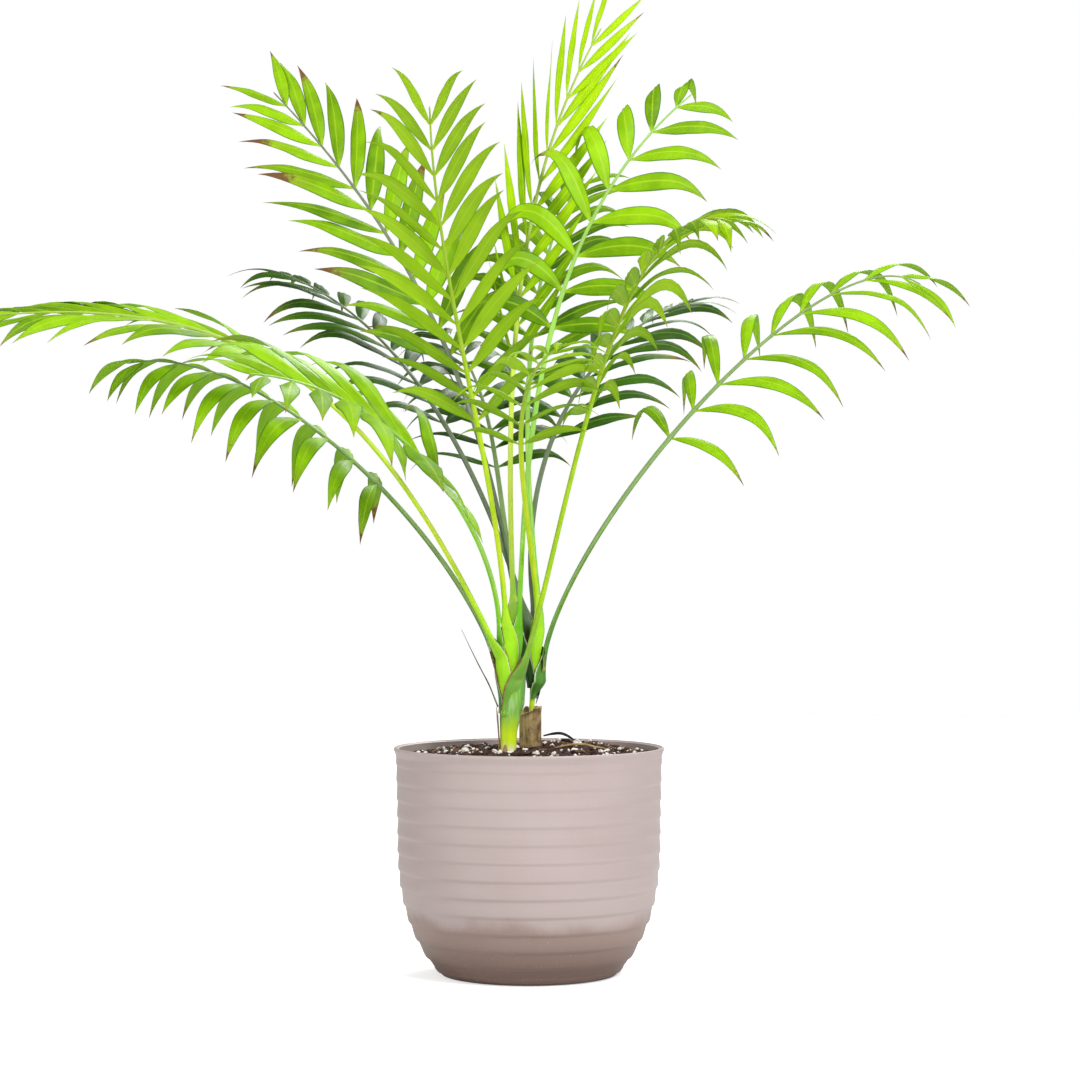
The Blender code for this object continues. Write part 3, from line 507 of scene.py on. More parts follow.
def potOutline():
    rows = 210
    footCorner = ((0.0030, 0.0), (0.0012, 0.0004), (0.0002, 0.0016))     # inset and height
    outline = [(0.0, 0.0), (pot["drainRing"] * 1.4, 0.0)]
    outline += [(pot["foot"] - inset, height) for inset, height in footCorner]
    lipLow = pot["height"] - pot["lip"]
    for i in range(rows + 1):
        height = 0.003 + (lipLow - 0.003) * i / rows
        outline.append((ribbedRadius(height), height))
    flare = pot["rim"] - pot["neck"]
    for i in range(1, 9):
        turn = i / 8
        height = lipLow + (pot["lip"] - pot["lipRound"]) * turn
        outline.append((pot["neck"] + flare * smoothStep(turn), height))
    for i in range(1, 8):
        turn = math.pi * i / 8
        middle = pot["rim"] - pot["lipRound"]
        outline.append((middle + pot["lipRound"] * math.cos(turn),
                        pot["height"] - pot["lipRound"] + pot["lipRound"] * math.sin(turn)))
    for i in range(0, 31):
        height = pot["height"] - pot["lipRound"] - (pot["height"] - pot["floor"] - 0.004) * i / 30
        inner = min(wallRadius(height), pot["neck"] + flare * smoothStep(height, lipLow, pot["height"]))
        outline.append((inner - pot["wall"], height))
    outline += [(wallRadius(pot["floor"]) - pot["wall"] - 0.003, pot["floor"]), (0.0, pot["floor"])]
    return outline


def turnOutline(shape, outline, segments):
    previous = None
    for radius, height in outline:
        if radius == 0:
            loop = [addVert(shape, (0, 0, height))]
        else:
            loop = [addVert(shape, (radius * x, radius * y, height)) for x, y in circle(segments)]
        if previous and len(previous) > 1 and len(loop) > 1:
            bridgeLoops(shape, previous, loop)
        elif previous:
            long, short = (previous, loop) if len(previous) > 1 else (loop, previous)
            closeLoop(shape, long, short[0])
        previous = loop


def makeDrill(name, place, radius, low, high):
    work = bmesh.new()
    bmesh.ops.create_cone(work, cap_ends=True, segments=28, radius1=radius, radius2=radius, depth=high - low,
                          matrix=Matrix.Translation((place[0], place[1], (low + high) / 2)))
    mesh = bpy.data.meshes.new(name)
    work.to_mesh(mesh)
    work.free()
    drill = bpy.data.objects.new(name, mesh)
    bpy.context.scene.collection.objects.link(drill)
    return drill


def makePot():
    shape = newShape()
    turnOutline(shape, potOutline(), pot["segments"])
    piece = makePiece("ribbed_pot", shape, ["plastic"], ["pot"], 50)
    drills = []
    for i in range(pot["drains"]):
        angle = math.tau * (i + 0.5) / pot["drains"]
        spot = (pot["drainRing"] * math.cos(angle), pot["drainRing"] * math.sin(angle))
        drills.append(makeDrill(f"drain_drill_{i + 1}", spot, pot["drainRadius"], -0.01, 0.01))
        cut = piece.modifiers.new(f"drain_{i + 1}", "BOOLEAN")
        cut.object = drills[-1]
        cut.solver = "EXACT"
    graph = bpy.context.evaluated_depsgraph_get()
    cutMesh = bpy.data.meshes.new_from_object(piece.evaluated_get(graph))
    piece.modifiers.clear()
    piece.data = cutMesh
    for drill in drills:
        bpy.data.objects.remove(drill, do_unlink=True)


makePot()
print("pot ready")


mix = {
    "edge": 0.1640, "crown": 0.1695, "roughness": 0.0016, "heap": (0.030, 0.035), "heapHeight": 0.0045,
    "heapSpread": 0.036, "rings": 74, "spokes": 220, "lumps": 1100, "perlite": 400, "bark": 60, "strands": 70,
}


def mixHeight(x, y):
    out = min(1, math.hypot(x, y) / pot["rim"])
    heap = math.exp(-((x - mix["heap"][0]) ** 2 + (y - mix["heap"][1]) ** 2) / mix["heapSpread"] ** 2)
    mound = mix["edge"] + (mix["crown"] - mix["edge"]) * (1 - out ** 2.4) + mix["heapHeight"] * heap
    return mound + mix["roughness"] * noise.noise(Vector((x, y, 0)) * 90)


def crumbly(x, y):
    coarse = noise.noise(Vector((x, y, 0.3)) * 240)
    fine = noise.noise(Vector((x, y, 0.7)) * 620)
    return mixHeight(x, y) + 0.0013 * abs(coarse) + 0.0007 * fine


def makeMix():
    shape = newShape()
    edge = pot["neck"] - pot["wall"] - 0.0006
    rings = []
    for i in range(1, mix["rings"] + 1):
        out = edge * (i / mix["rings"]) ** 0.9
        ring = []
        for x, y in circle(mix["spokes"]):
            point = (out * x, out * y, crumbly(out * x, out * y))
            ring.append(addVert(shape, point, tones=(0.3, 0, 0)))
        rings.append(ring)
    closeLoop(shape, rings[0], addVert(shape, (0, 0, crumbly(0, 0))))
    for inner, outer in zip(rings, rings[1:]):
        bridgeLoops(shape, inner, outer)
    last = rings[-1]
    for height in (0.130, 0.100, 0.075, 0.050, 0.030, 0.015, pot["floor"] + 0.0003):
        radius = min(edge, wallRadius(height) - pot["wall"] - 0.0012) - (0.004 if height < 0.01 else 0)
        below = [addVert(shape, (radius * x, radius * y, height)) for x, y in circle(mix["spokes"])]
        bridgeLoops(shape, last, below)
        last = below
    closeLoop(shape, last, addVert(shape, (0, 0, pot["floor"] + 0.0003)))
    rng = random.Random("mix lumps")
    for _ in range(mix["lumps"]):
        size = 0.0007 + 0.0026 * rng.random() ** 2
        scatterLump(shape, rng, (size, size * rng.uniform(0.6, 1), size * rng.uniform(0.5, 0.9)), 0.45)
    makePiece("potting_mix_surface", shape, ["mix"], ["potting_mix"])


# A small broken grain, laid on the mix at a random spot, or at a given one.
def scatterLump(shape, rng, size, sink, spot=None, rough=0.22, detail=1):
    if spot is None:
        angle, out = rng.uniform(0, math.tau), (pot["neck"] - 0.007) * math.sqrt(rng.uniform(0.01, 1))
        spot = (out * math.cos(angle), out * math.sin(angle))
    for foot, reach in ((shoots["front"][0][0], 0.0085), (shoots["rear"][0][0], 0.0105)):
        away = Vector((spot[0] - foot[0], spot[1] - foot[1]))
        if away.length < reach:
            away = (away.normalized() if away.length > 0 else Vector((1, 0))) * (reach + size[0])
            spot = (foot[0] + away.x, foot[1] + away.y)
    work = bmesh.new()
    bmesh.ops.create_icosphere(work, subdivisions=detail, radius=1)
    turn = Matrix.Rotation(rng.uniform(0, math.tau), 3, "Z") @ Matrix.Rotation(rng.uniform(-0.5, 0.5), 3, "X")
    seed = rng.uniform(0, 50)
    tone = rng.random()
    height = crumbly(*spot) + size[2] * (1 - 2 * sink)
    first = len(shape["verts"])
    for vert in work.verts:
        swell = 1 + rough * (2 * noise.noise(vert.co * 1.7 + Vector((seed, 0, 0))) + rng.uniform(-0.4, 0.4))
        point = turn @ Vector((vert.co.x * size[0], vert.co.y * size[1], vert.co.z * size[2])) * swell
        addVert(shape, (spot[0] + point.x, spot[1] + point.y, height + point.z), tones=(tone, 0, seed))
    for face in work.faces:
        addFace(shape, [first + vert.index for vert in face.verts])
    work.free()


# The frame's own loose piece of that name: its spot on the mix and its size.
def loosePlace(node):
    low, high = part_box(node)
    return ((low.x + high.x) / 2, (low.y + high.y) / 2), (high - low) / 2


def makePerlite():
    shape = newShape()
    rng = random.Random("perlite")
    nodes = [f"perlite_{i}" for i in range(1, 8)]
    for node in nodes:
        spot, half = loosePlace(node)
        scatterLump(shape, rng, (half.x * 0.95, half.y * 0.95, half.z * 0.95), 0.1, spot, detail=2)
    for _ in range(mix["perlite"]):
        size = 0.0006 + 0.0017 * rng.random() ** 1.6
        scatterLump(shape, rng, (size, size * rng.uniform(0.7, 1), size * rng.uniform(0.6, 0.9)), 0.28)
    makePiece("perlite_grains", shape, ["perlite"], nodes, 38)


def makeBark():
    shape = newShape()
    rng = random.Random("bark")
    nodes = [f"bark_chip_{i}" for i in range(1, 6)]
    for node in nodes:
        spot, half = loosePlace(node)
        scatterLump(shape, rng, (half.x * 0.9, half.y * 0.9, half.z * 0.9), 0.15, spot, detail=2)
    for _ in range(mix["bark"]):
        size = rng.uniform(0.0016, 0.0042)
        scatterLump(shape, rng, (size, size * rng.uniform(0.35, 0.7), size * 0.25), 0.2)
    makePiece("bark_chips", shape, ["bark"], nodes, 35)


# A bent strand with a round section, through points with a radius at each end and in the middle.
def addStrand(shape, points, radii, sides=7, slot=0, seed=0.0):
    path = [Vector(point) for point in points]
    steps = 4 * (len(path) - 1)
    loops = []
    for i in range(steps + 1):
        where = i / steps
        point, heading = splinePoint(path, where)
        side = heading.cross(Vector((0, 0, 1)))
        side = side.normalized() if side.length > 0.01 else Vector((1, 0, 0))
        rise = side.cross(heading)
        turn = where * (len(radii) - 1)
        low = min(int(turn), len(radii) - 2)
        radius = radii[low] + (radii[low + 1] - radii[low]) * (turn - low)
        radius *= 1 + 0.12 * noise.noise(point * 700)
        loops.append([addVert(shape, point + radius * (x * side + y * rise), (0, 0.5, 0), (where, 0, seed))
                      for x, y in circle(sides)])
    for lower, upper in zip(loops, loops[1:]):
        bridgeLoops(shape, lower, upper, slot)
    addFace(shape, loops[0], slot)
    addFace(shape, loops[-1], slot)


# A point and a direction on a smooth curve through the points.
def splinePoint(path, where):
    spans = len(path) - 1
    turn = where * spans
    i = min(int(turn), spans - 1)
    t = turn - i
    a, b = path[max(i - 1, 0)], path[i]
    c, d = path[i + 1], path[min(i + 2, spans)]
    square, cube = 2 * a - 5 * b + 4 * c - d, 3 * b - a - 3 * c + d
    point = 0.5 * (2 * b + (c - a) * t + square * t ** 2 + cube * t ** 3)
    heading = (c - a) + 2 * square * t + 3 * cube * t ** 2
    return point, heading.normalized()


def aboveMix(x, y, lift):
    return (x, y, mixHeight(x, y) + lift)


# Strands that lie on the mix: x, y and height above it for each point, then the radii along the strand.
laidStrands = {
    "twig": {
        "spots": ((0.011, 0.052, 0.0055), (0.018, 0.050, 0.0072), (0.025, 0.049, 0.0070),
                  (0.031, 0.050, 0.0055), (0.035, 0.053, 0.0026)),
        "radii": (0.0006, 0.0012, 0.0011, 0.0006),
    },
    "root": {
        "spots": ((0.019, -0.012, 0.0022), (0.030, -0.009, 0.0030), (0.041, -0.004, 0.0030),
                  (0.050, -0.003, 0.0030), (0.058, -0.007, 0.0022)),
        "radii": (0.0005, 0.0010, 0.0009, 0.0004),
    },
}


def addLaidStrand(shape, strand):
    addStrand(shape, [aboveMix(*spot) for spot in strand["spots"]], strand["radii"], 10)


def makeStrands():
    shape = newShape()
    addLaidStrand(shape, laidStrands["twig"])
    makePiece("dark_curled_twig", shape, ["darkTwig"], ["dark_twig"])
    shape = newShape()
    addLaidStrand(shape, laidStrands["root"])
    rng = random.Random("root hairs")
    for _ in range(mix["strands"]):
        angle, out = rng.uniform(0, math.tau), 0.088 * math.sqrt(rng.uniform(0.05, 1))
        x, y, way = out * math.cos(angle), out * math.sin(angle), rng.uniform(0, math.tau)
        points = []
        for i in range(4):
            if math.hypot(x, y) < 0.094:
                points.append((x, y, crumbly(x, y) + 0.0004 + 0.0010 * math.sin(math.pi * i / 3)))
            x, y, way = x + 0.004 * math.cos(way), y + 0.004 * math.sin(way), way + rng.uniform(-0.7, 0.7)
        if len(points) > 2:
            addStrand(shape, points, (0.00018, 0.00030, 0.00015), 5, seed=rng.random())
    makePiece("tan_root_fibres", shape, ["tanRoot"], ["tan_root"])
    shape = newShape()
    addStrand(shape, ((-0.0234, -0.0128, 0.2030), (-0.0300, -0.0145, 0.2195), (-0.0370, -0.0150, 0.2330),
                      (-0.0440, -0.0140, 0.2470), (-0.0509, -0.0120, 0.2614)), (0.0006, 0.00045, 0.00012), 8)
    makePiece("stray_leaf_fibre", shape, ["leafFibre"], ["stray_fibre"])


# Shoots: centre line and radius from the buried end up, as built in the frame.
shoots = {
    "front": (((-0.0160, -0.0100, 0.1460), 0.0058), ((-0.0160, -0.0100, 0.1700), 0.0063),
              ((-0.0155, -0.0090, 0.1980), 0.0070), ((-0.0150, -0.0070, 0.2250), 0.0058),
              ((-0.0145, -0.0050, 0.2500), 0.0042), ((-0.0145, -0.0040, 0.2660), 0.0030)),
    "rear": (((0.0010, 0.0130, 0.1460), 0.0030), ((0.0010, 0.0130, 0.1700), 0.0030),
             ((0.0025, 0.0130, 0.2100), 0.0030), ((0.0030, 0.0130, 0.2260), 0.0046),
             ((0.0030, 0.0140, 0.2500), 0.0040), ((0.0030, 0.0145, 0.2680), 0.0026)),
}

makeMix()
makePerlite()
makeBark()
makeStrands()
print("potting mix ready")


def shootAxis(shoot, height):
    stations = shoots[shoot]
    for (low, lowRadius), (high, highRadius) in zip(stations, stations[1:]):
        if low[2] <= height <= high[2]:
            share = (height - low[2]) / (high[2] - low[2])
            return Vector(low).lerp(Vector(high), share), lowRadius + (highRadius - lowRadius) * share
    return Vector(stations[-1][0]), stations[-1][1]


# A thin two-sided sheet round an upright axis. outline(share of the sweep) gives the foot and top heights of
# a column, and place(angle, height) gives the point on its outer side and the way out there.
def addSheet(shape, start, sweep, columns, rows, thickness, outline, place, marginDepth, slot=0):
    closed = sweep >= 360
    outer, inner = [], []
    for i in range(columns if closed else columns + 1):
        share = i / columns
        angle = math.radians(start + sweep * share)
        low, high = outline(share)
        outerColumn, innerColumn = [], []
        for j in range(rows + 1):
            up = j / rows
            height = low + (high - low) * up
            point, out = place(angle, height)
            fromTop = (high - height) / marginDepth
            fromSide = 1.0 if closed else min(share, 1 - share) * sweep / 14
            margin = max(0.0, 1 - min(fromTop, fromSide))
            body = thickness * (0.45 + 0.55 * min(1.0, fromTop, fromSide if not closed else 1.0))
            outerColumn.append(addVert(shape, point, (share * 2 - 1, up, 0), (up, margin, 0.4)))
            innerColumn.append(addVert(shape, point - out * body, (share * 2 - 1, up, 1), (up, margin, 0.4)))
        outer.append(outerColumn)
        inner.append(innerColumn)
    spans = list(zip(range(len(outer)), range(1, len(outer)))) + ([(len(outer) - 1, 0)] if closed else [])
    for a, b in spans:
        for j in range(rows):
            addFace(shape, (outer[a][j], outer[b][j], outer[b][j + 1], outer[a][j + 1]), slot)
            addFace(shape, (inner[a][j], inner[a][j + 1], inner[b][j + 1], inner[b][j]), slot)
        addFace(shape, (outer[a][0], inner[a][0], inner[b][0], outer[b][0]), slot)
        addFace(shape, (outer[a][rows], outer[b][rows], inner[b][rows], inner[a][rows]), slot)
    if not closed:
        for k in (0, -1):
            for j in range(rows):
                addFace(shape, (outer[k][j], outer[k][j + 1], inner[k][j + 1], inner[k][j]), slot)


def addCore(shape, stations, sides, slot=0):
    path = [Vector(point) for point, _ in stations]
    steps = 6 * (len(path) - 1)
    loops = []
    for i in range(steps + 1):
        where = i / steps
        point, _ = splinePoint(path, where)
        turn = where * (len(path) - 1)
        low = min(int(turn), len(path) - 2)
        radius = stations[low][1] + (stations[low + 1][1] - stations[low][1]) * smoothStep(turn - low)
        loops.append([addVert(shape, point + radius * Vector((x, y, 0)), (2 * j / sides - 1, where, 0),
                              (where, 0, 0.2)) for j, (x, y) in enumerate(circle(sides))])
    for lower, upper in zip(loops, loops[1:]):
        bridgeLoops(shape, lower, upper, slot)
    addFace(shape, loops[0], slot)
    addFace(shape, loops[-1], slot)


frontSleeve = {
    "low": 0.150, "leftTop": 0.204, "rightTop": 0.240, "peak": 318, "wall": 0.0007,
    "profile": ((0.146, 0.0056, -0.0160, -0.0100), (0.166, 0.0058, -0.0155, -0.0100),
                (0.182, 0.0064, -0.0152, -0.0098), (0.195, 0.0076, -0.0142, -0.0092),
                (0.206, 0.0090, -0.0124, -0.0082), (0.222, 0.0092, -0.0120, -0.0070),
                (0.242, 0.0080, -0.0105, -0.0060)),
}


def profileAt(profile, height):
    for low, high in zip(profile, profile[1:]):
        if height <= high[0]:
            share = smoothStep(height, low[0], high[0])
            return [a + (b - a) * share for a, b in zip(low, high)]
    return list(profile[-1])


def makeFrontShoot():
    shape = newShape()
    core = [(point, radius * 0.8) for point, radius in shoots["front"]]
    addCore(shape, core, 20)

    def sleeveEnds(share):
        gap = math.radians(360 * share - frontSleeve["peak"])
        rise = (0.5 + 0.5 * math.cos(gap)) ** 1.6
        ragged = 0.0012 * noise.noise(Vector((share * 40, 0, 0)))
        ragged += 0.0008 * noise.noise(Vector((share * 110, 4, 0)))
        climb = frontSleeve["rightTop"] - frontSleeve["leftTop"]
        return frontSleeve["low"], frontSleeve["leftTop"] + climb * rise + ragged

    def sleevePlace(angle, height):
        _, radius, x, y = profileAt(frontSleeve["profile"], height)
        radius *= 1 + 0.03 * math.sin(angle * 3 + height * 60) + 0.02 * math.sin(angle * 7)
        return ringPlace((x, y), height, angle, radius)

    addSheet(shape, 0, 360, 72, 34, frontSleeve["wall"], sleeveEnds, sleevePlace, 0.0022)

    def bractEnds(share):
        ragged = 0.001 * noise.noise(Vector((share * 30, 9, 0)))
        return 0.158, 0.160 + 0.0150 * math.sin(math.pi * share) ** 0.7 + ragged

    def bractPlace(angle, height):
        _, radius, x, y = profileAt(frontSleeve["profile"], height)
        return ringPlace((x, y), height, angle, radius + 0.0005)

    for start, sweep, columns in ((215, 62, 16), (20, 150, 26)):
        addSheet(shape, start, sweep, columns, 10, 0.0004, bractEnds, bractPlace, 0.0030, 1)
    makePiece("front_shoot_sheaths", shape, ["shootSleeve", "drySheath"], ["shoot_front"], 60)


def makeRearShoot():
    shape = newShape()
    stem = [(point, 0.0020 if point[2] < 0.212 else radius * 0.62) for point, radius in shoots["rear"]]
    addCore(shape, stem, 18)
    makePiece("rear_shoot_stem", shape, ["yellowStalk"], ["shoot_rear"])


# Sleeve of the front shoot: nearly white and yellow at the foot, then bright green, then silvery green.
def makeSleeveMaterial():
    material, tree, shader = newMaterial("shootSleeve", Specular_IOR_Level=0.35, Coat_Weight=0.08,
                                         Coat_Roughness=0.15, Subsurface_Weight=0.18, Subsurface_Scale=0.003)
    shader.inputs["Subsurface Radius"].default_value = (0.7, 1.0, 0.25)
    inner = readLayer(tree, "coords")[2]
    margin = readLayer(tree, "tones")[1]
    place = objectPlace(tree)
    axes = addNode(tree, "ShaderNodeSeparateXYZ")
    feed(tree, axes.inputs[0], place)
    streaks = addNoise(tree, addStretch(tree, place, (520, 520, 36)), 1.0, 4)
    blotch = useGroup(tree, mottleGroup, Place=place, Scale=130.0, Seed=1.0)["Mask"]
    wavy = addScaled(tree, axes.outputs[2], streaks, 0.010)
    colour = addMix(tree, addRange(tree, wavy, 0.171, 0.184), (0.98, 0.97, 0.42), (0.66, 0.92, 0.006))
    colour = addMix(tree, addRange(tree, wavy, 0.184, 0.206), colour, (0.20, 0.50, 0.035))
    streaked = addRange(tree, streaks, 0.42, 0.66)
    silver = addMaths(tree, "MULTIPLY", streaked, addRange(tree, wavy, 0.190, 0.212))
    colour = addTint(tree, colour, (0.52, 0.68, 0.36), silver, 0.55)
    rightSide = addRange(tree, axes.outputs[0], -0.0085, -0.004)
    right = addMaths(tree, "MULTIPLY", rightSide, addRange(tree, axes.outputs[2], 0.182, 0.196))
    colour = addTint(tree, colour, (0.085, 0.30, 0.030), right, 0.75)
    colour = addTint(tree, colour, (0.55, 0.62, 0.30), inner, 0.4)
    torn = addSwing(tree, margin, blotch, 0.35)
    colour = addMix(tree, addRange(tree, torn, 0.35, 0.75), colour, (0.17, 0.085, 0.035))
    base = addRange(tree, wavy, 0.172, 0.165, 0.0, 0.7)
    colour = addMix(tree, base, colour, (0.48, 0.28, 0.09))
    rough = addScaled(tree, 0.26, blotch, 0.18)
    setSurface(tree, shader, colour, rough, addBump(tree, streaks, 0.35, 0.0004))
    return material


finishes["shootSleeve"] = makeSleeveMaterial()

oldSleeve = {"centre": (0.0010, 0.0130), "low": 0.1465, "top": 0.2020, "radius": 0.0084, "wall": 0.0011}


def makeOldSheaths():
    shape = newShape()

    def sleeveEnds(share):
        angle = math.tau * share
        slope = -0.0052 * max(0.0, math.cos(angle - math.radians(205))) ** 0.8
        teeth = 0.0030 * abs(noise.noise(Vector((share * 34, 1, 0))))
        teeth += 0.0016 * noise.noise(Vector((share * 90, 5, 0)))
        return oldSleeve["low"], oldSleeve["top"] + slope - teeth

    def sleevePlace(angle, height):
        up = smoothStep(height, 0.165, oldSleeve["top"])
        ripple = 0.00035 * noise.noise(Vector((math.cos(angle) * 5, math.sin(angle) * 5, height * 18)))
        fibre = 0.00016 * noise.noise(Vector((math.cos(angle) * 40, math.sin(angle) * 40, height * 30)))
        radius = oldSleeve["radius"] * (1 + 0.02 * math.sin(math.pi * up)) + ripple + fibre
        flare = 0.0005 * smoothStep(height, 0.196, 0.204) * (1 + math.sin(angle * 5))
        return ringPlace(oldSleeve["centre"], height, angle, radius + flare)

    addSheet(shape, 0, 360, 120, 30, oldSleeve["wall"], sleeveEnds, sleevePlace, 0.0030)
    makePiece("old_fibrous_sleeve", shape, ["oldSheath"], ["old_sheath_sleeve"], 60)

    shape = newShape()
    front = shoots["front"][0][0]

    def stripEnds(share):
        ragged = 0.002 * noise.noise(Vector((share * 24, 3, 0)))
        return 0.166, 0.196 + 0.007 * math.sin(math.pi * share) + ragged

    def stripPlace(angle, height):
        return ringPlace(front, height, angle, 0.0071 + 0.0017 * smoothStep(height, 0.172, 0.203))

    addSheet(shape, 150, 50, 14, 20, 0.0004, stripEnds, stripPlace, 0.0030)
    makePiece("dry_front_strip", shape, ["drySheath"], ["dry_sheath_strip"], 60)

    shape = newShape()

    def tornEnds(share):
        teeth = 0.0045 * abs(noise.noise(Vector((share * 13, 2, 0))))
        teeth += 0.0015 * noise.noise(Vector((share * 50, 8, 0)))
        high = 0.2330 + 0.0150 * math.sin(math.pi * (0.15 + 0.7 * share))
        return 0.2165 - 0.003 * share + teeth, high - teeth

    def tornPlace(angle, height):
        radius = 0.0052 + 0.0050 * smoothStep(height, 0.214, 0.236) - 0.002 * smoothStep(height, 0.238, 0.252)
        radius += 0.0004 * noise.noise(Vector((angle * 3, height * 90, 0)))
        return ringPlace((0.0030, 0.0125), height, angle, radius)

    addSheet(shape, 318, 150, 36, 18, 0.0004, tornEnds, tornPlace, 0.0026)
    for i, (side, drop) in enumerate(((0, 0.014), (12, 0.018), (-10, 0.011))):
        angle = math.radians(345 + side)
        out = Vector((math.cos(angle), math.sin(angle), 0))
        top = Vector((0.0030, 0.0125, 0.222)) + out * 0.0062
        foot = Vector((0.0022, 0.0125, 0.222 - drop)) + out * 0.0030
        points = (top, top.lerp(foot, 0.5) + out * 0.0006, foot)
        addStrand(shape, points, (0.0005, 0.0008, 0.0002), 8, 1, 0.2 * i)
    makePiece("torn_green_sheath", shape, ["tornSheath", "darkTwig"], ["torn_sheath"], 60)


makeFrontShoot()
makeRearShoot()
makeOldSheaths()
print("shoots ready")


stem = {"petiole": 0.0021, "sheath": 0.0026, "sheathLength": 0.030, "rachisTip": 0.0006, "gap": 0.0003,
        "samples": 80, "sides": 12, "wrapRows": 12, "sheet": 0.0006, "footShare": 0.045, "footRings": 10,
        "farRings": 78, "roundBy": 0.034}

